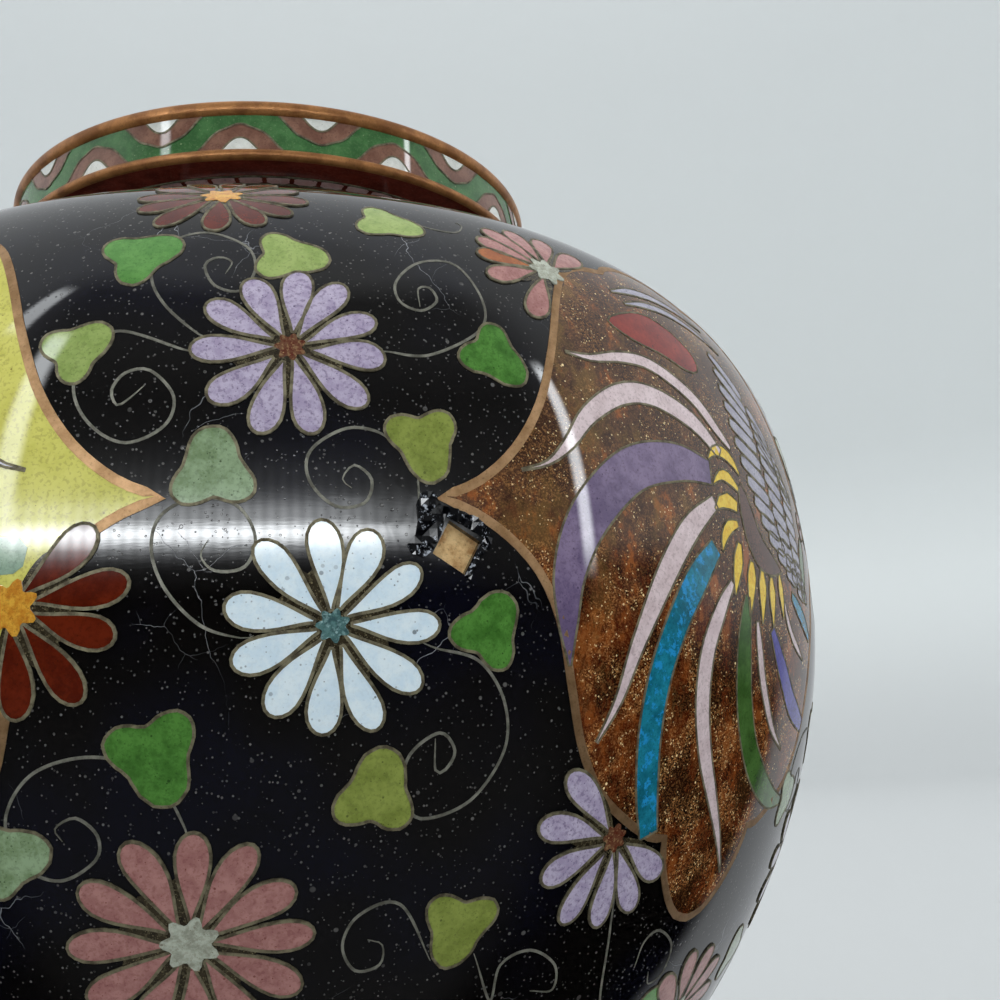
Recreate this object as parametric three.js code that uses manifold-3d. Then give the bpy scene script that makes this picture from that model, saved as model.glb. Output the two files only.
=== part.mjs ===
// Small enamelled copper jar on three feet, with a loose lid.
// Millimetres, +Z up, origin on the floor under the middle of the jar.
// The front of the jar faces -Y, and azimuths are counted from there towards +X.

import * as THREE from 'three';
import { mergeVertices } from 'three/addons/utils/BufferGeometryUtils.js';
import Module from 'manifold-3d';

const wasm = await Module();
wasm.setup();

// Body: a globe with a flat-topped shoulder above the belly and a tapering bowl below it
const bellyRadius = 48;
const shoulderRise = 33.3;
const shoulderFullnessOut = 3.82;
const shoulderFullnessUp = 2.85;
const bowlDrop = 50.2;
const bowlFullnessOut = 1.92;
const bowlFullnessDown = 1.68;
const baseRadius = 20;
const bodyWall = 1.8;

// Neck: a short upright tube that rises from the shoulder through the collar
const neckRadius = 20;
const neckWall = 1.6;
const neckShown = 4.65;

// Collar: a ring round the top of the neck, with an enamelled band between two copper lips,
// and a ledge inside its rim that carries the lid
const collarHeight = 5.2;
const ledgeWidth = 2.15;
const rimWidth = 2.3;
const upperLipHeight = 1.25;
const lowerLipHeight = 0.9;
const bandInset = 0.35;
const lipEase = 0.35;

// Lid: a low dome with a flat rim that sinks into the collar, and a ring that drops into the neck
const lidRimThickness = 1.2;
const lidSinkBelowRim = 0.3;
const lidRimWidth = 2.6;
const lidDomeRise = 6;
const lidWall = 1.3;
const lidRingDepth = 3.4;
const lidPlay = 0.4;

// Knob: a turned button on a flat in the middle of the lid
const knobHeight = 6;
const knobRadius = 3.4;
const knobStemRadius = 1.7;
const knobFootRadius = 2.9;
const lidFlatMargin = 0.7;

// Feet: three cast stubs, waisted, each with a flat sole
const footCount = 3;
const footCircle = 26;
const floorClearance = 8;
const footShoulderRadius = 6.2;
const footWaistRadius = 4.1;
const footToeRadius = 5.3;
const footSoleRadius = 4.2;
const footWaistLevel = 0.5;
const footToeLevel = 0.21;
const footHeadLevel = 1.04;

// Chip: a lozenge of enamel lost down to the copper, beside the middle cusp of a panel
const chipAzimuth = 11.4;
const chipAboveBelly = 1.5;
const chipAcross = 2.9;
const chipTall = 3.1;
const chipTurn = 14;
const chipDepth = 0.5;

// Clearance between pieces that touch in the real jar, and the fineness of the round shapes
const seam = 0.3;
const bodySides = 56;
const ringSides = 48;
const footSides = 20;
const knobSides = 24;
const shoulderSteps = 13;
const bowlSteps = 11;
const innerShoulderSteps = 10;
const innerBowlSteps = 8;
const lidSteps = 6;
const lidStepCrowding = 1.6;

// Height of the shoulder curve over the belly, and depth of the bowl curve under it, at a radius
function shoulderAt(radius, grow = 0) {
  const out = Math.min(1, radius / (bellyRadius + grow));
  return (shoulderRise + grow) * (1 - out ** shoulderFullnessOut) ** (1 / shoulderFullnessUp);
}

function bowlAt(radius, grow = 0) {
  const out = Math.min(1, radius / (bellyRadius + grow));
  return (bowlDrop + grow) * (1 - out ** bowlFullnessOut) ** (1 / bowlFullnessDown);
}

// Radius of the body at a height over the belly (side 1) or a depth under it (side -1)
function bodyRadiusAt(distance, side, grow = 0) {
  const reach = side > 0 ? shoulderRise : bowlDrop;
  const up = side > 0 ? shoulderFullnessUp : bowlFullnessDown;
  const out = side > 0 ? shoulderFullnessOut : bowlFullnessOut;
  return (bellyRadius + grow) * (1 - (distance / (reach + grow)) ** up) ** (1 / out);
}

const bellyHeight = floorClearance + bowlAt(baseRadius);
const neckFoot = bellyHeight + shoulderAt(neckRadius);
const collarBottom = neckFoot + neckShown;
const collarTop = collarBottom + collarHeight;
const rebateRadius = neckRadius + seam + ledgeWidth;
const collarRadius = rebateRadius + rimWidth;
const lidRimTop = collarTop - lidSinkBelowRim;
const lidRimBottom = lidRimTop - lidRimThickness;
const ledgeTop = lidRimBottom - seam;
const neckBore = neckRadius - neckWall;

// Points of the body curve from one radius to another, over the belly (side 1) or under it (side -1)
function bodyCurve(fromRadius, toRadius, side, steps, grow = 0) {
  const reach = bellyRadius + grow;
  const curve = side > 0 ? shoulderAt : bowlAt;
  const fullness = side > 0 ? shoulderFullnessOut : bowlFullnessOut;
  const turn = (radius) => Math.acos(Math.min(1, radius / reach) ** (fullness / 2));
  const points = [];
  for (let i = 0; i <= steps; i += 1) {
    const angle = THREE.MathUtils.lerp(turn(fromRadius), turn(toRadius), i / steps);
    const radius = reach * Math.cos(angle) ** (2 / fullness);
    points.push(new THREE.Vector2(radius, bellyHeight + side * curve(radius, grow)));
  }
  return points;
}

// A solid of revolution about Z from (radius, height) points
function turned(points, sides) {
  const geometry = new THREE.LatheGeometry(points, sides);
  geometry.rotateX(Math.PI / 2);
  return geometry;
}

function pt(radius, height) {
  return new THREE.Vector2(radius, height);
}

// A merged, closed mesh as a solid for cutting, and back
function toSolid(geometry) {
  const bare = geometry.clone();
  bare.deleteAttribute('normal');
  bare.deleteAttribute('uv');
  const merged = mergeVertices(bare, 1e-4);
  const index = Array.from(merged.index.array);
  const triangles = [];
  for (let i = 0; i < index.length; i += 3) {
    const [a, b, c] = index.slice(i, i + 3);
    if (a !== b && b !== c && c !== a) triangles.push(a, b, c);
  }
  return new wasm.Manifold(new wasm.Mesh({
    numProp: 3,
    vertProperties: new Float32Array(merged.attributes.position.array),
    triVerts: new Uint32Array(triangles),
  }));
}

function toGeometry(solid) {
  const mesh = solid.getMesh();
  const geometry = new THREE.BufferGeometry();
  geometry.setAttribute('position', new THREE.BufferAttribute(new Float32Array(mesh.vertProperties), 3));
  geometry.setIndex(new THREE.BufferAttribute(new Uint32Array(mesh.triVerts), 1));
  return geometry;
}

const group = new THREE.Group();

function addPiece(name, geometry, look) {
  const mesh = new THREE.Mesh(geometry, new THREE.MeshStandardMaterial(look));
  mesh.name = name;
  group.add(mesh);
}

const blackEnamel = { color: 0x0b0c10, roughness: 0.18, metalness: 0 };
const agedCopper = { color: 0x8a5a2c, roughness: 0.4, metalness: 1 };

// Outward direction at an azimuth from the front
function outward(azimuthDegrees) {
  const azimuth = THREE.MathUtils.degToRad(azimuthDegrees);
  return new THREE.Vector3(Math.sin(azimuth), -Math.cos(azimuth), 0);
}

// The lozenge of lost enamel, standing across the belly wall
function chipCutter() {
  const lozenge = new THREE.Shape([
    new THREE.Vector2(0, -chipTall / 2),
    new THREE.Vector2(chipAcross / 2, 0),
    new THREE.Vector2(0, chipTall / 2),
    new THREE.Vector2(-chipAcross / 2, 0),
  ]);
  const block = new THREE.ExtrudeGeometry(lozenge, { depth: 2 * chipDepth, bevelEnabled: false });
  block.rotateZ(THREE.MathUtils.degToRad(chipTurn));
  const out = outward(chipAzimuth);
  const across = new THREE.Vector3(-out.y, out.x, 0);
  const up = new THREE.Vector3(0, 0, 1);
  block.applyMatrix4(new THREE.Matrix4().makeBasis(across, up, out));
  const place = out.multiplyScalar(bodyRadiusAt(chipAboveBelly, 1) - chipDepth);
  block.translate(place.x, place.y, bellyHeight + chipAboveBelly);
  return block;
}

// Body and neck: one raised shell, hollow and open at the mouth
function vessel() {
  const wallIn = -bodyWall;
  const innerFloor = floorClearance + bodyWall;
  const innerBase = bodyRadiusAt(bellyHeight - innerFloor, -1, wallIn);
  const profile = [
    pt(0, floorClearance),
    ...bodyCurve(baseRadius, bellyRadius, -1, bowlSteps),
    ...bodyCurve(bellyRadius, neckRadius, 1, shoulderSteps).slice(1),
    pt(neckRadius, ledgeTop),
    pt(neckBore, ledgeTop),
    ...bodyCurve(neckBore, bellyRadius - bodyWall, 1, innerShoulderSteps, wallIn),
    ...bodyCurve(bellyRadius - bodyWall, innerBase, -1, innerBowlSteps, wallIn).slice(1),
    pt(0, innerFloor),
  ];
  return toGeometry(toSolid(turned(profile, bodySides)).subtract(toSolid(chipCutter())));
}

// Collar: section closed on itself, eased at the lips and rebated on top for the lid
function mouthCollar() {
  const bore = neckRadius + seam;
  const bandRadius = collarRadius - bandInset;
  const lowerLipTop = collarBottom + lowerLipHeight;
  const upperLipBottom = collarTop - upperLipHeight;
  const section = [
    pt(bore, collarBottom),
    pt(collarRadius - lipEase, collarBottom),
    pt(collarRadius, collarBottom + lipEase),
    pt(collarRadius, lowerLipTop),
    pt(bandRadius, lowerLipTop + bandInset / 2),
    pt(bandRadius, upperLipBottom - bandInset / 2),
    pt(collarRadius, upperLipBottom),
    pt(collarRadius, collarTop - lipEase),
    pt(collarRadius - lipEase, collarTop),
    pt(rebateRadius + lipEase, collarTop),
    pt(rebateRadius, collarTop - lipEase),
    pt(rebateRadius, ledgeTop),
    pt(bore, ledgeTop),
    pt(bore, collarBottom),
  ];
  return turned(section, ringSides);
}

// Lid: dome, sunk rim and drop ring in one shell, hollow underneath
function lid() {
  const rimRadius = rebateRadius - lidPlay;
  const domeRadius = rimRadius - lidRimWidth;
  const ringOuter = neckBore - lidPlay;
  const ringInner = ringOuter - lidWall;
  const underDome = Math.min(domeRadius - lidWall, ringInner);
  const flatRadius = knobFootRadius + lidFlatMargin;
  const dome = (radius) => Math.sqrt(Math.max(0, 1 - (radius / domeRadius) ** 2));
  const top = [];
  for (let i = 0; i <= lidSteps; i += 1) {
    const radius = THREE.MathUtils.lerp(domeRadius, flatRadius, (i / lidSteps) ** lidStepCrowding);
    top.push(pt(radius, lidRimTop + lidDomeRise * dome(radius) / dome(flatRadius)));
  }
  const under = top.map((point) => pt(
    point.x * underDome / domeRadius,
    lidRimBottom + (point.y - lidRimTop) * (lidDomeRise + lidRimThickness - lidWall) / lidDomeRise,
  )).reverse();
  const profile = [
    pt(0, under[0].y),
    ...under,
    pt(ringInner, lidRimBottom - lidRingDepth),
    pt(ringOuter, lidRimBottom - lidRingDepth),
    pt(ringOuter, lidRimBottom),
    pt(rimRadius, lidRimBottom),
    pt(rimRadius, lidRimTop),
    ...top,
    pt(0, lidRimTop + lidDomeRise),
  ];
  return turned(profile, ringSides);
}

// Knob: foot disc, narrow stem and rounded button, turned in one
function lidKnob() {
  const foot = lidRimTop + lidDomeRise + seam;
  const buttonBase = foot + knobHeight * 0.45;
  const buttonMiddle = foot + knobHeight * 0.68;
  const top = foot + knobHeight;
  const profile = [
    pt(0, foot),
    pt(knobFootRadius, foot),
    pt(knobFootRadius, foot + knobHeight * 0.1),
    pt(knobStemRadius, foot + knobHeight * 0.24),
    pt(knobStemRadius, buttonBase),
    pt(knobRadius * 0.85, buttonBase + knobHeight * 0.08),
    pt(knobRadius, buttonMiddle),
    pt(knobRadius * 0.85, buttonMiddle + knobHeight * 0.18),
    pt(knobRadius * 0.45, top - knobHeight * 0.03),
    pt(0, top),
  ];
  return turned(profile, knobSides);
}

// Foot: a waisted stub whose head is shaped to the bowl that it carries
function foot(azimuthDegrees) {
  const standing = bellyHeight - bowlAt(footCircle);
  const insideBody = bellyHeight - bowlAt(footCircle + footShoulderRadius) + bodyWall;
  const profile = [
    pt(0, 0),
    pt(footSoleRadius, 0),
    pt(footToeRadius, standing * footToeLevel * 0.45),
    pt(footToeRadius, standing * footToeLevel),
    pt(footWaistRadius * 1.06, standing * footWaistLevel * 0.72),
    pt(footWaistRadius, standing * footWaistLevel),
    pt(THREE.MathUtils.lerp(footWaistRadius, footShoulderRadius, 0.35), standing * footWaistLevel * 1.5),
    pt(footShoulderRadius, standing * footHeadLevel),
    pt(footShoulderRadius, insideBody),
    pt(0, insideBody),
  ];
  const place = outward(azimuthDegrees).multiplyScalar(footCircle);
  const stub = turned(profile, footSides).translate(place.x, place.y, 0);
  const seat = turned([
    pt(0, floorClearance - seam),
    pt(baseRadius + seam, floorClearance - seam),
    ...bodyCurve(baseRadius, bellyRadius + seam, -1, bowlSteps, seam).slice(1),
    pt(bellyRadius + seam, bellyHeight + bodyWall),
    pt(0, bellyHeight + bodyWall),
  ], bodySides);
  return toGeometry(toSolid(stub).subtract(toSolid(seat)));
}

addPiece('vessel', vessel(), blackEnamel);
addPiece('mouth_collar', mouthCollar(), agedCopper);
for (let i = 0; i < footCount; i += 1) {
  addPiece(`foot_${i + 1}`, foot((i * 360) / footCount), agedCopper);
}
addPiece('lid', lid(), blackEnamel);
addPiece('lid_knob', lidKnob(), agedCopper);

export default group;
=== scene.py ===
import math
import random

import bmesh
import bpy
import numpy as np
from mathutils import Matrix, Vector


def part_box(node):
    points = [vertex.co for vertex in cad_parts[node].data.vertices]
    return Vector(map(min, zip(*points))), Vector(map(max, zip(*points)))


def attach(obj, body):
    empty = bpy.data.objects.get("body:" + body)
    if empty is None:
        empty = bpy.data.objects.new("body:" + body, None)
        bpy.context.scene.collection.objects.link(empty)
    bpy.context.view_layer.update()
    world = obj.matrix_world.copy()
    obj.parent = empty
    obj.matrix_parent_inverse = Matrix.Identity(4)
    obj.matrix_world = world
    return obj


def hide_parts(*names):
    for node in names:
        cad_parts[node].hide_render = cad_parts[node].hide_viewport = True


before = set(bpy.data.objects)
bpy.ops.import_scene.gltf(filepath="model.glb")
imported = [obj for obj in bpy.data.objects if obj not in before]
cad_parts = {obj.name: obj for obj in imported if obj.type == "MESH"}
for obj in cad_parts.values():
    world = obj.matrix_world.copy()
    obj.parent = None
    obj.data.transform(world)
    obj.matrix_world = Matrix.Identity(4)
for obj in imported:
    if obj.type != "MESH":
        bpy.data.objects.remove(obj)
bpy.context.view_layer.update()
MM = 0.001


# Vessel body and neck: one shell raised from sheet copper, enamelled all over.
# Outside it is near-black glass ground flat and polished, inside a dull counter enamel.
# A lozenge of the glass is lost at one panel's cusp, down to the copper.
belly_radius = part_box("vessel")[1][0] / MM
base_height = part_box("vessel")[0][2] / MM
neck_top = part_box("vessel")[1][2] / MM
shoulder_rise, shoulder_out, shoulder_up = 33.3, 3.82, 2.85
bowl_drop, bowl_out, bowl_down = 50.2, 1.92, 1.68
base_radius = 20.0
neck_radius = 20.0
neck_wall = 1.6
body_wall = 1.8
around_body = 168
chip_azimuth = math.radians(11.4)
chip_up = 1.5
chip_half_across, chip_half_tall = 1.45, 1.55
chip_turn = math.radians(14)
chip_depth = 0.45
chip_reach = 6.0


def body_height_at(radius, side, grow=0.0):
    full = (shoulder_rise, shoulder_out, shoulder_up) if side > 0 else (bowl_drop, bowl_out, bowl_down)
    share = min(1.0, radius / (belly_radius + grow))
    return side * (full[0] + grow) * (1 - share ** full[1]) ** (1 / full[2])


belly_height = base_height - body_height_at(base_radius, -1)


def body_line(start, stop, side, steps, grow=0.0):
    """Points (radius, height) of the body's curve between two radii, crowded where it bends."""
    reach = belly_radius + grow
    power = shoulder_out if side > 0 else bowl_out
    turns = [math.acos(min(1.0, radius / reach) ** (power / 2)) for radius in (start, stop)]
    line = []
    for i in range(steps + 1):
        radius = reach * math.cos(turns[0] + (turns[1] - turns[0]) * i / steps) ** (2 / power)
        line.append((radius, belly_height + body_height_at(radius, side, grow)))
    return line


def curve_of(line, across, zero_height):
    """Arc length, radius, height and outward normal along a profile, with arc length 0 at a height."""
    radius, height = np.array(line, dtype=float).T
    step = np.hypot(np.diff(radius), np.diff(height))
    length = np.concatenate([[0], np.cumsum(step)])
    length -= np.interp(zero_height, height, length)
    slope_r, slope_z = np.gradient(radius, length), np.gradient(height, length)
    size = np.hypot(slope_r, slope_z)
    curve = {"s": length, "r": radius, "z": height, "across": across}
    curve["nr"], curve["nz"] = slope_z / size, -slope_r / size
    return curve


fine_steps = 300
outer_line = body_line(base_radius, belly_radius, -1, fine_steps)[:-1]
outer_line += body_line(belly_radius, neck_radius, 1, fine_steps)
body_curve = curve_of(outer_line, belly_radius, belly_height)


def srgb(red, green, blue):
    """A colour as a picture shows it, 0 to 255, as linear light."""
    shares = [c / 255 for c in (red, green, blue)]
    return tuple(c / 12.92 if c < 0.0405 else ((c + 0.055) / 1.055) ** 2.4 for c in shares)


def new_object(name, bm, materials):
    mesh = bpy.data.meshes.new(name)
    bm.to_mesh(mesh)
    bm.free()
    for material in materials:
        mesh.materials.append(material)
    piece = bpy.data.objects.new(name, mesh)
    bpy.context.collection.objects.link(piece)
    return piece


def turn_profile(bm, line, steps):
    """Spins a profile of (radius, height) in millimetres once round the jar's axis."""
    verts = [bm.verts.new((radius * MM, 0, height * MM)) for radius, height in line]
    edges = [bm.edges.new(pair) for pair in zip(verts, verts[1:])]
    bmesh.ops.spin(bm, geom=verts + edges, axis=(0, 0, 1), cent=(0, 0, 0), angle=2 * math.pi, steps=steps,
                   use_merge=True)
    bmesh.ops.remove_doubles(bm, verts=bm.verts, dist=1e-6)
    bmesh.ops.recalc_face_normals(bm, faces=bm.faces)
    for face in bm.faces:
        face.smooth = True


def node_group(name, inputs, outputs):
    """A group whose sockets are all numbers, with its input and output sockets."""
    group = bpy.data.node_groups.new(name, "ShaderNodeTree")
    for socket, value in inputs.items():
        made = group.interface.new_socket(socket, in_out="INPUT", socket_type="NodeSocketFloat")
        made.default_value = value
    for socket in outputs:
        group.interface.new_socket(socket, in_out="OUTPUT", socket_type="NodeSocketFloat")
    return group, group.nodes.new("NodeGroupInput").outputs, group.nodes.new("NodeGroupOutput").inputs


def node(tree, kind, settings=None, **sockets):
    """A shader node with settings, whose sockets take values or links. Underscores stand for spaces."""
    made = tree.nodes.new(kind)
    for key, value in (settings or {}).items():
        setattr(made, key, value)
    for key, value in sockets.items():
        wanted = int(key[1:]) if key[0] == "i" and key[1:].isdigit() else key.replace("_", " ")
        socket = made.inputs[wanted]
        if isinstance(value, bpy.types.NodeSocket):
            tree.links.new(value, socket)
        else:
            socket.default_value = value
    return made.outputs


def math_node(tree, operation, first, second=0.0, third=0.0):
    return node(tree, "ShaderNodeMath", {"operation": operation}, i0=first, i1=second, i2=third)[0]


def times(tree, first, second):
    return math_node(tree, "MULTIPLY", first, second)


def times_plus(tree, first, second, third):
    return math_node(tree, "MULTIPLY_ADD", first, second, third)


def greater(tree, first, second):
    return math_node(tree, "MAXIMUM", first, second)


def vector_node(tree, operation, first, second):
    return node(tree, "ShaderNodeVectorMath", {"operation": operation}, i0=first, i1=second)[0]


def mix_colour(tree, amount, first, second):
    made = tree.nodes.new("ShaderNodeMix")
    made.data_type = "RGBA"
    for index, value in ((0, amount), (6, first), (7, second)):
        if isinstance(value, bpy.types.NodeSocket):
            tree.links.new(value, made.inputs[index])
        else:
            made.inputs[index].default_value = value if index == 0 else (*value[:3], 1.0)
    return made.outputs[2]


def ramp(tree, value, low, high):
    """0 below low, 1 above high, smooth between."""
    settings = {"interpolation_type": "SMOOTHSTEP"}
    return node(tree, "ShaderNodeMapRange", settings, Value=value, From_Min=low, From_Max=high)[0]


def noise(tree, place, scale, detail=2.0, roughness=0.5):
    """Cloudy noise round a half, with as many clouds to a millimetre as its scale says."""
    clouds = node(tree, "ShaderNodeTexNoise", Vector=place, Scale=scale, Detail=detail, Roughness=roughness)
    return clouds["Fac"]


def paint(tree, shader, colour):
    tree.links.new(colour, shader.inputs["Base Color"])


def dent(tree, shader, height, strength, depth):
    """Sinks the shading of a surface where its height falls, by a depth in millimetres."""
    bump = node(tree, "ShaderNodeBump", Strength=strength, Distance=depth * MM, Height=height)[0]
    tree.links.new(bump, shader.inputs["Normal"])


def millimetres(tree):
    """Object coordinates in millimetres, on the jar's own axes."""
    coords = node(tree, "ShaderNodeTexCoord")["Object"]
    return node(tree, "ShaderNodeVectorMath", {"operation": "SCALE"}, Vector=coords, Scale=1 / MM)[0]


# Pits and bubbles of fired glass: round dots of mixed size, some cells empty
pits, pin, pout = node_group(
    "enamel_pits",
    {"Per mm": 1.0, "Size": 0.08, "Share": 0.5},
    ["Mask"],
)
cells = node(pits, "ShaderNodeTexVoronoi", Vector=millimetres(pits), Scale=pin["Per mm"])
chance = node(pits, "ShaderNodeSeparateColor", Color=cells["Color"])
wide = times(pits, pin["Size"], math_node(pits, "ADD", chance[1], 0.25))
wide = times(pits, wide, pin["Per mm"])
kept = math_node(pits, "LESS_THAN", chance[0], pin["Share"])
dot = ramp(pits, math_node(pits, "DIVIDE", cells["Distance"], wide), 1.15, 0.75)
kept = times(pits, kept, times_plus(pits, chance[2], 0.75, 0.25))
pits.links.new(times(pits, dot, kept), pout["Mask"])

# Hairline cracks: long wandering lines, broken up so that only stretches of them show
cracks, cin, cout = node_group(
    "hairline_cracks",
    {"Per mm": 0.1, "Width": 0.03, "Cover": 0.5},
    ["Mask"],
)
place = millimetres(cracks)
bend = node(cracks, "ShaderNodeTexNoise", Vector=place, Scale=0.35, Detail=3.0)["Color"]
bent = node(cracks, "ShaderNodeVectorMath", {"operation": "MULTIPLY_ADD"},
            i0=bend, i1=(2.2, 2.2, 2.2), i2=place)[0]
edge = node(cracks, "ShaderNodeTexVoronoi", {"feature": "DISTANCE_TO_EDGE"},
            Vector=bent, Scale=cin["Per mm"])
limit = times(cracks, cin["Width"], cin["Per mm"])
line = ramp(cracks, math_node(cracks, "DIVIDE", edge["Distance"], limit), 1.0, 0.4)
patch = noise(cracks, place, 0.13)
bare = math_node(cracks, "SUBTRACT", 0.72, times(cracks, cin["Cover"], 0.4))
shown = ramp(cracks, patch, bare, 0.75)
cracks.links.new(times(cracks, line, shown), cout["Mask"])


def use_group(tree, group, **values):
    made = tree.nodes.new("ShaderNodeGroup")
    made.node_tree = group
    for key, value in values.items():
        socket = made.inputs[key.replace("_", " ")]
        if isinstance(value, bpy.types.NodeSocket):
            tree.links.new(value, socket)
        else:
            socket.default_value = value
    return made.outputs


def new_material(name, **constants):
    """A Principled material with its fixed values set on the shader's own sockets."""
    material = bpy.data.materials.new(name)
    material.use_nodes = True
    shader = material.node_tree.nodes["Principled BSDF"]
    for key, value in constants.items():
        shader.inputs[key.replace("_", " ")].default_value = value
    return material, material.node_tree, shader


black_enamel, tree, shader = new_material("black_enamel", Specular_IOR_Level=0.5, IOR=1.52)
place = millimetres(tree)
depth = noise(tree, place, 0.09)
ground = mix_colour(tree, ramp(tree, depth, 0.45, 0.7), srgb(11, 9, 8), srgb(10, 10, 20))
small = use_group(tree, pits, Per_mm=3.6, Size=0.06, Share=0.75)
middling = use_group(tree, pits, Per_mm=1.7, Size=0.09, Share=0.45)
large = use_group(tree, pits, Per_mm=0.75, Size=0.15, Share=0.3)
hair = use_group(tree, cracks, Per_mm=0.085, Width=0.022, Cover=0.5)
fine = use_group(tree, cracks, Per_mm=0.27, Width=0.014, Cover=0.3)
marks = greater(tree, greater(tree, small["Mask"], middling["Mask"]), large["Mask"])
lines = greater(tree, hair["Mask"], fine["Mask"])
colour = mix_colour(tree, times(tree, marks, 0.4), ground, srgb(150, 146, 142))
colour = mix_colour(tree, times(tree, lines, 0.6), colour, srgb(190, 192, 198))
paint(tree, shader, colour)
smear = noise(tree, place, 0.5, 4.0, 0.7)
smear = node(tree, "ShaderNodeMapRange", Value=smear, To_Min=0.012, To_Max=0.045)[0]
tree.links.new(smear, shader.inputs["Roughness"])
hollow = times(tree, marks, -1.0)
hollow = times_plus(tree, lines, -0.5, hollow)
ground_round = vector_node(tree, "MULTIPLY", place, (1.0, 1.0, 8.0))
scuffs = noise(tree, ground_round, 0.9, 4.0, 0.6)
hollow = times_plus(tree, scuffs, 0.035, hollow)
dent(tree, shader, hollow, 0.5, 0.03)

counter_enamel, tree, shader = new_material("counter_enamel", Roughness=0.35)
cloud = noise(tree, millimetres(tree), 0.3, 5.0)
specks = use_group(tree, pits, Per_mm=0.8, Size=0.15, Share=0.5)
colour = mix_colour(tree, ramp(tree, cloud, 0.35, 0.7), srgb(74, 96, 98), srgb(104, 128, 122))
colour = mix_colour(tree, specks["Mask"], colour, srgb(52, 44, 38))
paint(tree, shader, colour)
dent(tree, shader, cloud, 0.6, 0.1)


def copper_material(name, bright, dull, patch_per_mm, roughness, metallic=0.75):
    """Copper alloy gone brown, brighter where it is handled."""
    material, tree, shader = new_material(name, Metallic=metallic, Specular_IOR_Level=0.3)
    place = millimetres(tree)
    cloud = noise(tree, place, patch_per_mm, 6.0, 0.65)
    grain = noise(tree, place, 6.0, 3.0)
    colour = mix_colour(tree, ramp(tree, cloud, 0.36, 0.66), srgb(*bright), srgb(*dull))
    dirt = times(tree, ramp(tree, grain, 0.55, 0.75), 0.35)
    colour = mix_colour(tree, dirt, colour, srgb(58, 40, 28))
    paint(tree, shader, colour)
    dulled = times_plus(tree, cloud, 0.3, roughness - 0.15)
    tree.links.new(dulled, shader.inputs["Roughness"])
    dent(tree, shader, grain, 0.25, 0.04)
    return material


bare_copper = copper_material("bare_copper", (240, 204, 148), (186, 132, 78), 1.3, 0.7, metallic=0.1)


def outward(azimuth):
    return Vector((math.sin(azimuth), -math.cos(azimuth), 0))


def chip_out(bm):
    """Cuts the lozenge through the outer face and sinks it to the copper."""
    out = outward(chip_azimuth)
    across = Vector((-out.y, out.x, 0))
    centre = (out * belly_radius + Vector((0, 0, belly_height + chip_up))) * MM
    spin = Matrix.Rotation(chip_turn, 3, out)
    right, up = spin @ across, spin @ Vector((0, 0, 1))
    corners = [centre + corner * MM for corner in (
        right * chip_half_across, up * chip_half_tall, -right * chip_half_across, -up * chip_half_tall)]
    near = [f for f in bm.faces
            if (f.calc_center_median() - centre).length < chip_reach * MM and f.normal.dot(out) > 0]
    for first, second in zip(corners, corners[1:] + corners[:1]):
        away = (second - first).cross(out).normalized()
        geom = set(near) | {e for f in near for e in f.edges} | {v for f in near for v in f.verts}
        cut = bmesh.ops.bisect_plane(bm, geom=list(geom), dist=1e-8, plane_co=first, plane_no=away)
        near = list({g for g in cut["geom"] if isinstance(g, bmesh.types.BMFace)})
    flat = [corner - out * corner.dot(out) for corner in corners]

    def inside_lozenge(point):
        point = point - out * point.dot(out)
        return all((b - a).cross(point - a).dot(out) > 0 for a, b in zip(flat, flat[1:] + flat[:1]))

    lost = [f for f in near if inside_lozenge(f.calc_center_median())]
    sunk = bmesh.ops.extrude_face_region(bm, geom=lost)["geom"]
    sunk_verts = [g for g in sunk if isinstance(g, bmesh.types.BMVert)]
    bmesh.ops.translate(bm, verts=sunk_verts, vec=-out * chip_depth * MM)
    bmesh.ops.delete(bm, geom=lost, context="FACES_ONLY")
    for face in (g for g in sunk if isinstance(g, bmesh.types.BMFace)):
        face.material_index = 2
        face.smooth = False


bm = bmesh.new()
inner_floor = base_height + body_wall
inner_base = (belly_radius - body_wall) * (
    1 - ((belly_height - inner_floor) / (bowl_drop - body_wall)) ** bowl_down) ** (1 / bowl_out)
bore = neck_radius - neck_wall
body_profile = [(0, base_height), (base_radius * 0.5, base_height)]
body_profile += body_line(base_radius, belly_radius, -1, 44)[:-1]
body_profile += body_line(belly_radius, neck_radius, 1, 50)
body_profile += [(neck_radius, neck_top), (bore, neck_top)]
body_profile += body_line(bore, belly_radius - body_wall, 1, 20, -body_wall)[:-1]
body_profile += body_line(belly_radius - body_wall, inner_base, -1, 20, -body_wall) + [(0, inner_floor)]
turn_profile(bm, body_profile, around_body)
for face in bm.faces:
    middle = face.calc_center_median()
    face.material_index = 1 if face.normal.dot(Vector((middle.x, middle.y, 0))) < 0 else 0
chip_out(bm)
vessel_body = new_object("vessel_body", bm, [black_enamel, counter_enamel, bare_copper])
vessel_body.data.set_sharp_from_angle(angle=math.radians(35))
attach(vessel_body, "root")
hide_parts("vessel")


# Panels: five ogee fields in copper-wire borders, laid round the belly, each with a waist cusp
# on either side and a small lobe above and below. Grounds are goldstone or yellow-green enamel.
panel_count = 5
panel_pitch = 360 / panel_count
first_gap = 1.53
first_panel = first_gap + panel_pitch / 2
border_width = 0.55
wire_width = 0.18
tile_depth = 0.1
cut_pitch = 1.25
lift_tendril, lift_leaf, lift_ground, lift_flower, lift_wire = 0.02, 0.035, 0.035, 0.08, 0.014

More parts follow.
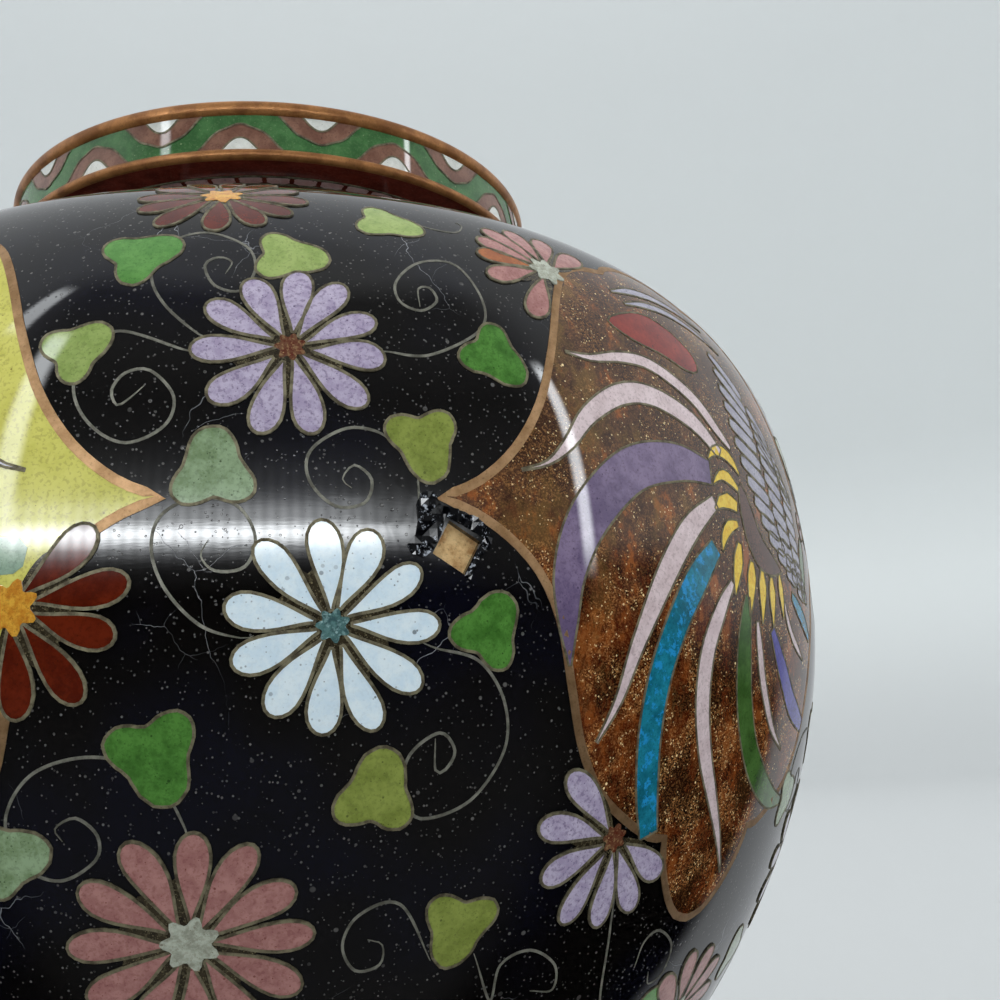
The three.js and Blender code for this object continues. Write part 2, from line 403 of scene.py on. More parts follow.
# Half outline of a panel, in millimetres right of its axis and above the belly, cusp to cusp
top_lobe = [(0, 25.9), (1.8, 25.7), (3.7, 25.1), (5.0, 24.4), (5.6, 23.8)]
upper_side = [(5.6, 23.8), (8.7, 23.1), (10.8, 21.7), (12.1, 19.8), (13.2, 17.4), (14.3, 14.4), (15.9, 10.5),
              (17.9, 7.5), (20.3, 5.4), (22.7, 4.3)]
lower_side = [(22.7, 4.3), (20.7, 3.5), (18.7, 2.2), (16.9, 0.3), (15.6, -2.4), (14.7, -6.2), (13.7, -9.6),
              (12.0, -12.3), (9.6, -14.1), (7.0, -15.4), (5.4, -15.6)]
bottom_lobe = [(5.4, -15.6), (4.9, -17.4), (3.4, -19.7), (1.7, -21.1), (0, -21.5)]


def smooth_path(points, step, closed=False):
    """A Catmull-Rom curve through the points, with about one point to a step."""
    points = [np.array(p, dtype=float) for p in points]
    count = len(points)
    if closed:
        ring = [points[-1]] + points + points[:2]
    else:
        ring = [2 * points[0] - points[1]] + points + [2 * points[-1] - points[-2]]
    path = []
    for i in range(count if closed else count - 1):
        a, b, c, d = ring[i:i + 4]
        steps = max(1, round(float(np.hypot(*(c - b)[:2])) / step))
        for k in range(steps):
            t = k / steps
            path.append(0.5 * (2 * b + (c - a) * t + (2 * a - 5 * b + 4 * c - d) * t ** 2
                               + (3 * b - a - 3 * c + d) * t ** 3))
    if not closed:
        path.append(points[-1])
    return path


def lay_cell(flat, outline):
    """A flat cell of enamel: one face with the given outline, facing up."""
    area = sum(a[0] * b[1] - b[0] * a[1] for a, b in zip(outline, list(outline[1:]) + [outline[0]]))
    outline = list(outline) if area > 0 else list(reversed(outline))
    ring = bmesh.ops.create_circle(flat, cap_ends=True, segments=len(outline), radius=1)["verts"]
    for vert, point in zip(ring, outline):
        vert.co = (point[0], point[1], 0)
    for face in ring[0].link_faces:
        if face.normal.z < 0:
            face.normal_flip()


def lay_wire(flat, path, width, closed=False, taper=0):
    """A flat wire bent along a path. Taper is the number of points over which its ends thin out."""
    count = len(path)
    columns = count if closed else count - 1
    grid = bmesh.ops.create_grid(flat, x_segments=columns, y_segments=1, size=1)["verts"]
    for vert in grid:
        at = round((vert.co.x + 1) / 2 * columns)
        side = 1 if vert.co.y > 0 else -1
        before, after = (at - 1) % count, (at + 1) % count
        if not closed:
            before, after = max(at - 1, 0), min(at + 1, count - 1)
        along = np.array(path[after]) - np.array(path[before])
        along /= max(1e-9, float(np.hypot(*along)))
        half = width / 2
        if taper and not closed:
            half *= 0.25 + 0.75 * min(1.0, min(at, columns - at) / taper)
        here = path[at % count]
        vert.co = (here[0] - along[1] * side * half, here[1] + along[0] * side * half, 0)
    if closed:
        bmesh.ops.remove_doubles(flat, verts=grid, dist=1e-5)


def finish_flat(flat, pitch=cut_pitch):
    """Cuts flat cells on a grid so that they can bend, gives them thickness and returns a mesh."""
    if pitch:
        for axis in (0, 1):
            low = min(v.co[axis] for v in flat.verts)
            high = max(v.co[axis] for v in flat.verts)
            normal = (1, 0, 0) if axis == 0 else (0, 1, 0)
            for i in range(math.floor(low / pitch) + 1, math.ceil(high / pitch)):
                geom = flat.verts[:] + flat.edges[:] + flat.faces[:]
                bmesh.ops.bisect_plane(flat, geom=geom, dist=1e-5, plane_co=Vector(normal) * i * pitch,
                                       plane_no=normal)
    bmesh.ops.triangulate(flat, faces=flat.faces)
    sunk = bmesh.ops.extrude_face_region(flat, geom=flat.faces[:], use_keep_orig=True)["geom"]
    sunk_verts = [g for g in sunk if isinstance(g, bmesh.types.BMVert)]
    bmesh.ops.translate(flat, verts=sunk_verts, vec=(0, 0, -tile_depth))
    bmesh.ops.recalc_face_normals(flat, faces=flat.faces)
    mesh = bpy.data.meshes.new("flat")
    flat.to_mesh(mesh)
    flat.free()
    return mesh


def wrap(points, azimuth, lift, curve):
    """Flat points (across, up, out) onto a surface of revolution, in metres."""
    x, y, h = points.T
    radius = np.interp(y, curve["s"], curve["r"]) + np.interp(y, curve["s"], curve["nr"]) * (lift + h)
    height = np.interp(y, curve["s"], curve["z"]) + np.interp(y, curve["s"], curve["nz"]) * (lift + h)
    angle = math.radians(azimuth) + x / curve["across"]
    return np.stack([radius * np.sin(angle), -radius * np.cos(angle), height], axis=-1) * MM


def inlay(piece, flat_mesh, azimuth, lift, curve=body_curve, widen=1.0):
    """Lays a flat mesh onto the surface round an azimuth, into the bmesh of a piece."""
    start = len(piece.verts)
    faces_before = len(piece.faces)
    piece.from_mesh(flat_mesh)
    piece.verts.ensure_lookup_table()
    verts = piece.verts[start:]
    points = np.array([v.co[:] for v in verts])
    points[:, 0] *= widen
    for vert, point in zip(verts, wrap(points, azimuth, lift, curve)):
        vert.co = point
    if widen < 0:
        piece.faces.ensure_lookup_table()
        bmesh.ops.reverse_faces(piece, faces=piece.faces[faces_before:])


def finish_inlay(name, bm, material, curve=body_curve):
    """An inlaid piece as an object, shaded as one polished surface with its neighbours."""
    for face in bm.faces:
        face.smooth = True
    piece = new_object(name, bm, [material])
    mesh = piece.data
    points = np.empty(len(mesh.vertices) * 3)
    mesh.vertices.foreach_get("co", points)
    points = points.reshape(-1, 3) / MM
    angle = np.arctan2(points[:, 0], -points[:, 1])
    slope_r = np.interp(points[:, 2], curve["z"], curve["nr"])
    slope_z = np.interp(points[:, 2], curve["z"], curve["nz"])
    normals = np.stack([slope_r * np.sin(angle), -slope_r * np.cos(angle), slope_z], axis=-1)
    mesh.normals_split_custom_set_from_vertices(normals.tolist())
    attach(piece, "root")
    return piece


polished = {"Roughness": 0.5, "Specular_IOR_Level": 0.0, "Coat_Weight": 1.0, "Coat_Roughness": 0.02,
            "Coat_IOR": 1.5}


def glass_material(name, light, dark, pit_colour, pit_share=0.7, pit_size=0.07, pit_per_mm=2.2, patch=0.6,
                   grain_per_mm=5.0, grain_share=0.25, stain=None, stain_share=0.0):
    """Opaque fired enamel: two tones in soft patches, pits and bubbles, a polished glass face."""
    material, tree, shader = new_material(name, **polished)
    place = millimetres(tree)
    cloud = noise(tree, place, patch, 5.0, 0.7)
    grain = noise(tree, place, grain_per_mm)
    pit_colour = srgb(*pit_colour)
    colour = mix_colour(tree, ramp(tree, cloud, 0.35, 0.65), srgb(*light), srgb(*dark))
    grains = times(tree, ramp(tree, grain, 0.53, 0.63), grain_share)
    colour = mix_colour(tree, grains, colour, pit_colour)
    if stain:
        spread = noise(tree, place, 1.4, 4.0, 0.75)
        least = 0.74 - 0.25 * stain_share
        colour = mix_colour(tree, ramp(tree, spread, least, least + 0.09), colour, srgb(*stain))
    small = use_group(tree, pits, Per_mm=pit_per_mm, Size=pit_size, Share=pit_share)
    tiny = use_group(tree, pits, Per_mm=pit_per_mm * 2.2, Size=pit_size * 0.55, Share=pit_share)
    marks = greater(tree, small["Mask"], tiny["Mask"])
    colour = mix_colour(tree, times(tree, marks, 0.8), colour, pit_colour)
    paint(tree, shader, colour)
    dent(tree, shader, times(tree, marks, -1.0), 0.4, 0.03)
    return material


def goldstone_material():
    """Clear brown glass full of copper flakes, whose flash is painted into the colour as pale gold glints.
    It is redder low on the panel.
    """
    material, tree, shader = new_material("goldstone", **polished)
    place = millimetres(tree)
    height = node(tree, "ShaderNodeSeparateXYZ", Vector=place)[2]
    cloud = noise(tree, place, 0.25, 6.0, 0.7)
    above_belly = math_node(tree, "SUBTRACT", height, belly_height + 12.0)
    lean = times_plus(tree, cloud, 24.0, above_belly)
    redness = ramp(tree, lean, 6.0, -3.0)
    body = mix_colour(tree, redness, srgb(78, 50, 34), srgb(78, 28, 9))
    drawn = vector_node(tree, "MULTIPLY", place, (1.0, 1.0, 0.62))
    mottle = noise(tree, drawn, 1.7, 7.0, 0.8)
    broad = noise(tree, drawn, 0.42, 3.0)
    depth = times(tree, math_node(tree, "ADD", mottle, broad), 0.5)
    deep_share = times_plus(tree, redness, 0.35, 0.6)
    deep = times(tree, ramp(tree, depth, 0.47, 0.54), deep_share)
    body = mix_colour(tree, deep, body, srgb(34, 12, 5))
    strand_share = times_plus(tree, redness, -0.3, 0.85)
    strand = times(tree, ramp(tree, depth, 0.46, 0.39), strand_share)
    body = mix_colour(tree, strand, body, srgb(160, 88, 38))
    drift = noise(tree, drawn, 0.28, 4.0, 0.7)
    olive_share = times_plus(tree, redness, -0.42, 0.5)
    olive = times(tree, ramp(tree, drift, 0.52, 0.64), olive_share)
    body = mix_colour(tree, olive, body, srgb(120, 92, 44))
    grains = node(tree, "ShaderNodeTexVoronoi", Vector=place, Scale=12.0)
    grain = node(tree, "ShaderNodeSeparateColor", Color=grains["Color"])
    rich = ramp(tree, noise(tree, place, 0.45, 5.0), 0.46, 0.6)
    rich = times(tree, rich, times_plus(tree, redness, 0.6, 0.4))
    speckle = times(tree, math_node(tree, "POWER", grain[0], 3.0), times_plus(tree, rich, 0.55, 0.2))
    body = mix_colour(tree, speckle, body, srgb(206, 148, 88))
    # Painted glints: the bright pale gold spots and dust below stand in for light flashing off the copper
    # flakes. The darker grains above are the flakes' own copper.
    sparks = node(tree, "ShaderNodeTexVoronoi", Vector=place, Scale=3.6)
    spark = node(tree, "ShaderNodeSeparateColor", Color=sparks["Color"])
    chance = times_plus(tree, rich, -0.05, 0.985)
    big = times_plus(tree, spark[2], 0.2, 0.14)
    chosen = math_node(tree, "GREATER_THAN", spark[1], chance)
    painted_flash = times(tree, chosen, math_node(tree, "LESS_THAN", sparks["Distance"], big))
    dust_chance = times_plus(tree, rich, -0.035, 0.99)
    dust = times(tree, math_node(tree, "GREATER_THAN", grain[1], dust_chance), 0.7)
    flakes_and_painted_flash = greater(tree, dust, painted_flash)
    paint(tree, shader, mix_colour(tree, flakes_and_painted_flash, body, srgb(255, 226, 168)))
    return material


goldstone = goldstone_material()
yellow_enamel = glass_material("yellow_enamel", (224, 218, 116), (204, 198, 92), (120, 92, 44),
                               pit_share=0.45, pit_size=0.09, pit_per_mm=1.3, patch=0.25)
border_copper = copper_material("border_copper", (190, 152, 112), (158, 122, 84), 0.8, 0.45)
wire_metal = copper_material("wire_metal", (134, 126, 100), (78, 70, 52), 1.6, 0.5, metallic=0.2)
tendril_metal = copper_material("tendril_metal", (138, 136, 124), (92, 90, 80), 1.2, 0.5, metallic=0.2)


def panel_outline():
    """The whole outline as four smooth runs a side, kept sharp at the cusps."""
    runs = [top_lobe, upper_side, lower_side, bottom_lobe]
    right_half = []
    for run in runs:
        right_half += smooth_path(run, 0.9)[:-1]
    right_half.append(np.array(bottom_lobe[-1], dtype=float))
    left_half = [np.array((-p[0], p[1])) for p in reversed(right_half[1:-1])]
    return right_half + left_half


outline = panel_outline()
flat = bmesh.new()
lay_cell(flat, outline)
ground_flat = finish_flat(flat)
flat = bmesh.new()
lay_wire(flat, outline, border_width, closed=True)
border_flat = finish_flat(flat, pitch=None)

goldstone_panels = bmesh.new()
yellow_panels = bmesh.new()
panel_borders = bmesh.new()
panel_is_gold = [True, False, True, True, False]
for i, gold in enumerate(panel_is_gold):
    azimuth = first_panel + i * panel_pitch
    inlay(goldstone_panels if gold else yellow_panels, ground_flat, azimuth, lift_ground)
    inlay(panel_borders, border_flat, azimuth, lift_ground + lift_wire)
finish_inlay("goldstone_panels", goldstone_panels, goldstone)
finish_inlay("yellow_panels", yellow_panels, yellow_enamel)
finish_inlay("panel_borders", panel_borders, border_copper)


# Chrysanthemums: round many-petalled flowers strewn over the black ground between the panels.
# Each petal is a cell of speckled enamel in a bent wire, round a small mottled heart.
heart_share = 0.17
petal_start = 0.16
widest_at = 0.72
petal_fill = 0.8
bed_reach, bed_width, bed_disc = 0.66, 0.95, 0.56
half_flower_spacing = 32


def rounded_for(height):
    """How much wider a motif is drawn at a height, so that it comes out round there."""
    return belly_radius / float(np.interp(height, body_curve["s"], body_curve["r"]))


def petal_outline(inner, outer, half_width, steps=12):
    """A petal along +X: narrow at the heart, widest past the middle, round at the tip."""
    upper = []
    for i in range(steps + 1):
        share = 0.5 - 0.5 * math.cos(math.pi * i / steps)
        if share < widest_at:
            half = 0.1 + 0.9 * math.sin(math.pi / 2 * share / widest_at) ** 1.25
        else:
            half = math.sqrt(max(0.0, 1 - ((share - widest_at) / (1 - widest_at)) ** 2))
        upper.append((inner + (outer - inner) * share, half * half_width))
    return upper + [(x, -y) for x, y in reversed(upper[:-1])]


def turned_to(points, angle, centre, stretch):
    c, s = math.cos(angle), math.sin(angle)
    return [np.array((centre[0] + (x * c - y * s) * stretch, centre[1] + x * s + y * c)) for x, y in points]


def rough_disc(radius, lobes, depth, angle, count=44):
    """Points round a disc whose edge goes in and out as many times as it has lobes."""
    ring = []
    for turn in np.linspace(0, 2 * math.pi, count, endpoint=False):
        reach = radius * (1 + depth * math.cos(lobes * (turn - angle)))
        ring.append((reach * math.cos(turn), reach * math.sin(turn)))
    return ring


def on_field(degrees, height):
    """A place on the black field, in degrees right of the gap's middle and millimetres above the belly."""
    return (math.radians(degrees) * belly_radius, height)


# Kind, place in the gap as degrees and height, radius, direction of each petal in degrees
flowers = [
    ("lavender", (-0.8, 13.0), 5.55, (83, 56, 24, -6, -41, -77, -109, -142, -178, 149, 117)),
    ("white", (1.65, -2.7), 5.75, (95, 66, 32, -1, -36, -68, -96, -127, -160, 168, 132)),
    ("red", (-18.0, -1.1), 6.0, (42, 9, -20, -54, -88)),
    ("pink", (-7.85, -19.2), 6.3, (85, 58, 29, 1, -29, -59, -90, -121, -151, 178, 146, 115)),
    ("lavender", (23.8, -15.2), 5.6, (133, 167, -156, -120, -88, -59, -29)),
    ("red", (-6.4, 27.2), 5.3, (-178, -153, -126, -90, -60, -36, -8, 22, 54, 86, 118, 150)),
    ("pink", (21.3, 21.6), 5.3, (36, 68, 99, 126, 150, 173, -161, -119)),
    ("white", (7.5, -33.5), 5.4, tuple(range(20, 380, 33))),
    ("red", (-30.0, -29.5), 5.4, tuple(range(40, 400, 33))),
]
flower_kinds = ["lavender", "white", "red", "pink"]
bare_gap, flower_not_there = 1, 2
petal_glass = {
    "lavender": glass_material("lavender_petals", (196, 184, 206), (168, 154, 182), (92, 72, 108),
                               pit_share=0.9, pit_size=0.06, pit_per_mm=2.6, patch=1.2, grain_share=0.4),
    "white": glass_material("white_petals", (236, 248, 254), (220, 238, 250), (92, 98, 104),
                            pit_share=0.6, pit_size=0.1, pit_per_mm=1.5, patch=0.9, grain_share=0.05,
                            stain=(186, 220, 224), stain_share=0.12),
    "red": glass_material("red_petals", (102, 34, 16), (78, 22, 9), (52, 20, 12),
                          pit_share=0.6, pit_size=0.05, pit_per_mm=2.4, patch=0.5),
    "pink": glass_material("pink_petals", (180, 130, 124), (156, 106, 102), (104, 44, 36),
                           pit_share=0.7, pit_size=0.07, pit_per_mm=1.9, patch=1.1,
                           stain=(132, 56, 40), stain_share=0.2),
}
heart_glass = {
    "lavender": glass_material("brown_hearts", (112, 78, 56), (90, 36, 26), (200, 170, 120), patch=3.0),
    "white": glass_material("teal_hearts", (96, 132, 130), (60, 88, 90), (180, 212, 212), patch=3.0),
    "red": glass_material("yellow_hearts", (226, 172, 66), (196, 126, 40), (120, 70, 30), patch=2.0),
    "pink": glass_material("pale_hearts", (190, 194, 178), (150, 152, 136), (110, 96, 78), patch=2.0),
}
bed_glass = glass_material("wire_beds", (60, 52, 38), (34, 29, 22), (140, 128, 96),
                           pit_share=0.9, pit_size=0.06, pit_per_mm=4.0, patch=2.5)
petal_bms = {kind: bmesh.new() for kind in flower_kinds}
heart_bms = {kind: bmesh.new() for kind in flower_kinds}
bed_bm = bmesh.new()
flower_wires = bmesh.new()
orange_direction = 173
flower_dice = random.Random(11)
for number, (kind, place, radius, directions) in enumerate(flowers):
    centre = on_field(*place)
    stretch = rounded_for(centre[1])
    whole = len(directions) > 10
    spacing = 360 / len(directions) if whole else half_flower_spacing
    half_width = radius * widest_at * math.sin(math.radians(spacing) / 2) * petal_fill
    flat, wires, middle, bed = bmesh.new(), bmesh.new(), bmesh.new(), bmesh.new()
    for direction in directions:
        reach = radius * flower_dice.uniform(0.95, 1.04)
        start = radius * petal_start * flower_dice.uniform(0.85, 1.35)
        petal = petal_outline(start, reach, half_width * flower_dice.uniform(0.9, 1.04))
        sway, phase = flower_dice.uniform(0.02, 0.09), flower_dice.uniform(0, 2 * math.pi)
        petal = [(x, y + sway * math.sin(1.1 * x + phase)) for x, y in petal]
        cell = turned_to(petal, math.radians(direction), centre, stretch)
        if direction == orange_direction:
            orange_cell = bmesh.new()
            lay_cell(orange_cell, cell)
        lay_cell(flat, cell)
        lay_wire(wires, cell, wire_width, closed=True)
        stalk = petal_outline(0, radius * bed_reach, half_width * bed_width)
        lay_cell(bed, turned_to(stalk, math.radians(direction), centre, stretch))
    if whole:
        lay_cell(bed, turned_to(rough_disc(radius * bed_disc, 11, 0.06, 0), 0, centre, stretch))
    size = heart_share * (1.25 if kind in ("pink", "red") else 0.8)
    lay_cell(middle, turned_to(rough_disc(radius * size, 7, 0.2, 0.4, 42), 0, centre, stretch))
    flat, wires = finish_flat(flat), finish_flat(wires, None)
    middle, bed = finish_flat(middle), finish_flat(bed)
    for gap in range(panel_count):
        if gap == bare_gap and number == flower_not_there:
            continue
        azimuth = first_gap + gap * panel_pitch
        dressed = flower_kinds[(flower_kinds.index(kind) + gap) % len(flower_kinds)]
        inlay(petal_bms[dressed], flat, azimuth, lift_flower)
        inlay(flower_wires, wires, azimuth, lift_flower + lift_wire)
        inlay(heart_bms[dressed], middle, azimuth, lift_flower + 2 * lift_wire)
        inlay(bed_bm, bed, azimuth, lift_flower - lift_wire)
for kind in flower_kinds:
    finish_inlay(f"{kind}_petals", petal_bms[kind], petal_glass[kind])
    finish_inlay(f"{kind}_flower_hearts", heart_bms[kind], heart_glass[kind])
orange_glass = glass_material("orange_petal", (176, 104, 52), (150, 80, 38), (96, 50, 26), patch=1.0)
bm = bmesh.new()
inlay(bm, finish_flat(orange_cell), first_gap, lift_flower + lift_wire / 2)
finish_inlay("orange_petal", bm, orange_glass)
finish_inlay("flower_beds", bed_bm, bed_glass)
finish_inlay("flower_wires", flower_wires, wire_metal)


# Leaves and tendrils: three-lobed cells of mottled green enamel, each in its own wire, and single
# wires that leave the flowers, thin out and curl up between them.
leaf_wire_width = 0.17
leaf_glass = {
    "bright": glass_material("bright_leaves", (98, 152, 74), (78, 132, 58), (44, 84, 34), patch=0.8),
    "green": glass_material("green_leaves", (86, 138, 60), (60, 106, 40), (32, 64, 24), patch=0.8),
    "lime": glass_material("lime_leaves", (160, 178, 104), (138, 160, 86), (92, 106, 54), patch=0.8),
    "sage": glass_material("sage_leaves", (150, 172, 136), (118, 140, 100), (64, 80, 50), patch=0.8),
    "olive": glass_material("olive_leaves", (144, 156, 76), (120, 132, 58), (80, 86, 40), patch=0.8),
}
# Kind, place in the gap as degrees and height, half width, direction of the long lobe in degrees
leaves = [
    ("bright", (-11.9, 19.8), 2.55, 28), ("lime", (-1.2, 19.9), 2.4, -6),
    ("lime", (7.1, 24.5), 2.4, -18), ("lime", (-15.2, 13.0), 2.2, 35),
    ("green", (13.6, 13.6), 2.4, -42), ("sage", (-5.7, 5.4), 2.5, 92),
    ("olive", (7.9, 7.8), 2.4, -80), ("green", (11.8, -3.3), 2.35, 60),
    ("green", (-9.5, -8.7), 2.7, -75), ("olive", (4.5, -11.9), 2.5, 80),
    ("olive", (11.3, -19.3), 2.5, -100), ("sage", (-19.8, -14.0), 2.4, 10),
    ("green", (-2.5, -29.5), 2.5, 200), ("lime", (18.5, -30.5), 2.5, 20),
    ("sage", (-18.0, -26.5), 2.4, 120), ("bright", (34.0, -28.5), 2.5, -60),
    ("olive", (-8.0, -38.5), 2.3, 30), ("bright", (24.0, -39.5), 2.3, 140),
]


def leaf_lobes(angle):
    """How far a leaf's edge reaches at an angle from its long lobe, for a half width of one."""
    return 0.8 + 0.19 * math.cos(3 * angle) + 0.14 * math.cos(angle)


leaf_wires = bmesh.new()
leaf_bms = {kind: bmesh.new() for kind in leaf_glass}
for kind, place, half_wide, direction in leaves:
    centre = on_field(*place)
    stretch = rounded_for(centre[1])
    shape = []
    for angle in np.linspace(0, 2 * math.pi, 44, endpoint=False):
        reach = half_wide * leaf_lobes(angle) * (1 + flower_dice.uniform(-0.015, 0.015))
        shape.append((reach * math.cos(angle), reach * math.sin(angle)))
    shape = turned_to(shape, math.radians(direction), centre, stretch)
    flat, wires = bmesh.new(), bmesh.new()
    lay_cell(flat, shape)
    lay_wire(wires, shape, leaf_wire_width, closed=True)
    flat, wires = finish_flat(flat), finish_flat(wires, None)
    for gap in range(panel_count):
        azimuth = first_gap + gap * panel_pitch
        inlay(leaf_bms[kind], flat, azimuth, lift_leaf)
        inlay(leaf_wires, wires, azimuth, lift_leaf + lift_wire)
for kind, bm in leaf_bms.items():
    finish_inlay(f"{kind}_leaves", bm, leaf_glass[kind])
finish_inlay("leaf_wires", leaf_wires, wire_metal)

tendril_width = 0.17
tendrils = [
    [(-5.6, 13.6), (-6.8, 13.8), (-9.3, 15.9), (-10.5, 18.2), (-9.9, 20.8), (-7.1, 22.0), (-4.0, 20.7),
     (-3.2, 18.7), (-4.2, 16.9), (-6.0, 17.3), (-6.8, 18.9), (-5.9, 19.6), (-4.9, 19.2), (-5.3, 18.2)],
    [(-6.2, 12.9), (-7.6, 12.8), (-12.1, 14.2), (-14.3, 13.1), (-14.8, 10.6), (-13.5, 8.5), (-11.2, 7.4),
     (-8.8, 8.3), (-8.3, 10.0), (-9.9, 11.6), (-11.5, 11.5), (-12.3, 10.5), (-11.9, 9.6), (-11.2, 9.9),
     (-10.2, 10.7)],
    [(4.9, 13.0), (5.8, 13.0), (8.9, 13.0), (13.0, 15.1), (13.8, 17.5), (12.3, 20.4), (9.3, 20.2),
     (7.1, 18.3), (7.1, 16.7), (8.6, 16.1), (10.0, 17.0), (9.6, 18.0), (8.7, 17.8), (8.6, 16.4)],
    [(6.6, 6.6), (5.0, 7.9), (2.7, 8.1), (0.4, 6.8), (0.3, 5.1), (1.9, 3.7), (3.8, 3.9), (4.3, 5.2),
     (3.2, 6.0), (2.4, 5.2), (3.0, 4.7)],
    [(7.4, 6.2), (7.4, 5.2), (7.4, 3.0), (6.9, 1.6)],
    [(-3.2, -3.1), (-4.0, -3.2), (-6.4, -2.5), (-8.5, -0.6), (-9.4, 1.5), (-8.9, 3.3), (-6.8, 4.2),
     (-4.3, 3.8), (-3.1, 2.1), (-3.7, 0.5), (-5.5, 0.3), (-6.4, 1.1), (-6.0, 1.9)],
    [(7.2, -3.6), (8.4, -4.0), (11.3, -4.7), (13.2, -6.9), (13.4, -9.6), (11.1, -12.3), (7.6, -13.1),
     (6.3, -11.5), (6.7, -9.6), (8.7, -8.5), (9.8, -9.5), (9.2, -10.5), (8.5, -10.5), (8.4, -8.8)],
    [(-8.9, -11.3), (-10.9, -9.4), (-14.0, -8.9), (-17.3, -9.7), (-19.2, -11.9), (-18.6, -14.3),
     (-16.1, -15.3), (-13.6, -14.3), (-13.3, -13.0), (-14.6, -12.0), (-16.0, -12.5), (-15.6, -13.2)],
    [(-9.2, -10.3), (-8.8, -10.8), (-7.7, -12.9), (-7.5, -14.2)],
    [(9.3, -21.5), (6.6, -17.9), (3.7, -18.3), (2.6, -20.0), (3.6, -21.6), (5.4, -21.4), (5.5, -20.2),
     (4.4, -19.8)],
    [(12.8, -21.4), (15.0, -24.7), (15.3, -22.4), (17.8, -21.7), (20.6, -23.0), (21.0, -24.7),
     (18.7, -24.5)],
    [(9.2, 24.9), (9.9, 25.0), (11.3, 24.4), (13.7, 24.4), (14.9, 25.7), (14.5, 26.2)],
    [(25.2, -18.8), (25.7, -21.3), (27.2, -26.3), (29.8, -28.0), (32.0, -27.5)],
    [(30.4, -24.4), (30.6, -22.6), (32.3, -22.0), (35.1, -23.4), (35.3, -25.4), (33.6, -26.0),
     (32.8, -25.0)],
    [(13.5, -33.5), (17.0, -35.5), (21.0, -35.3), (23.5, -32.5), (22.6, -29.6), (19.8, -28.6)],
    [(1.5, -33.0), (-3.5, -34.0), (-8.0, -33.2), (-11.0, -30.5), (-9.8, -27.3), (-6.5, -26.8),
     (-5.3, -28.6), (-6.5, -30.0), (-7.8, -29.2)],
    [(-24.5, -31.5), (-20.5, -34.0), (-15.5, -34.2), (-12.5, -36.5), (-13.5, -39.2), (-16.5, -39.2),
     (-17.2, -37.4), (-15.6, -36.6)],
    [(-33.5, -33.5), (-34.0, -37.5), (-30.0, -39.8), (-25.5, -38.6), (-24.6, -36.2), (-26.8, -35.2),
     (-28.2, -36.6)],
    [(10.0, -38.0), (13.5, -40.5), (18.0, -41.0), (20.5, -38.8), (19.0, -37.0), (16.8, -37.8)],
]
flat = bmesh.new()
for tendril in tendrils:
    lay_wire(flat, smooth_path([on_field(*point) for point in tendril], 0.3), tendril_width, taper=8)
tendril_flat = finish_flat(flat, pitch=None)
tendril_bm = bmesh.new()
for gap in range(panel_count):
    inlay(tendril_bm, tendril_flat, first_gap + gap * panel_pitch, lift_tendril)
finish_inlay("tendrils", tendril_bm, tendril_metal)


# Broken glass round the chip: where the lozenge of enamel came away, the black glass at its edges is
# splintered into small glossy facets, white in places, partly frosted bruising and partly painted glints.
splinter_pitch, splinter_height = 0.42, 0.12
splintered = [
    [(8.3, 4.7), (8.8, 4.0), (9.2, 3.4), (9.0, 2.8), (8.8, 2.2), (8.3, 1.4), (7.6, 0.9), (6.8, 1.1),
     (6.5, 1.6), (7.1, 2.2), (7.3, 3.0), (7.2, 3.8), (7.5, 4.5)],
    [(8.5, 3.8), (9.0, 3.85), (10.2, 3.65), (11.5, 3.2), (12.3, 2.5), (12.0, 2.0), (11.5, 2.25),
     (10.4, 2.75), (9.4, 3.15), (8.9, 3.4)],
    [(12.0, 2.2), (12.5, 2.3), (12.2, 1.5), (11.4, 0.9), (10.7, -0.3), (10.3, -0.1), (11.2, 1.2),
     (11.7, 1.9)],
]
flat = bmesh.new()
for patch in splintered:
    lay_cell(flat, [np.array(on_field(*point)) for point in patch])
splinter_flat = finish_flat(flat, pitch=splinter_pitch)
splinter_dice = random.Random(5)
for vert in splinter_flat.vertices:
    if vert.co.z > -tile_depth / 2:
        vert.co.z += splinter_dice.uniform(-0.02, splinter_height)
splintered_glass, tree, shader = new_material("splintered_glass", Roughness=0.07, IOR=1.52)
# White patches on the black facets: partly frosted bruising of the broken glass, partly painted glints.
bruise_and_painted_glint = noise(tree, millimetres(tree), 2.6, 5.0, 0.7)
paint(tree, shader, mix_colour(tree, ramp(tree, bruise_and_painted_glint, 0.57, 0.66), srgb(6, 6, 9), srgb(176, 180, 190)))
bm = bmesh.new()
inlay(bm, splinter_flat, first_gap, 0.02)
chip_splinters = new_object("chip_splinters", bm, [splintered_glass])
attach(chip_splinters, "root")


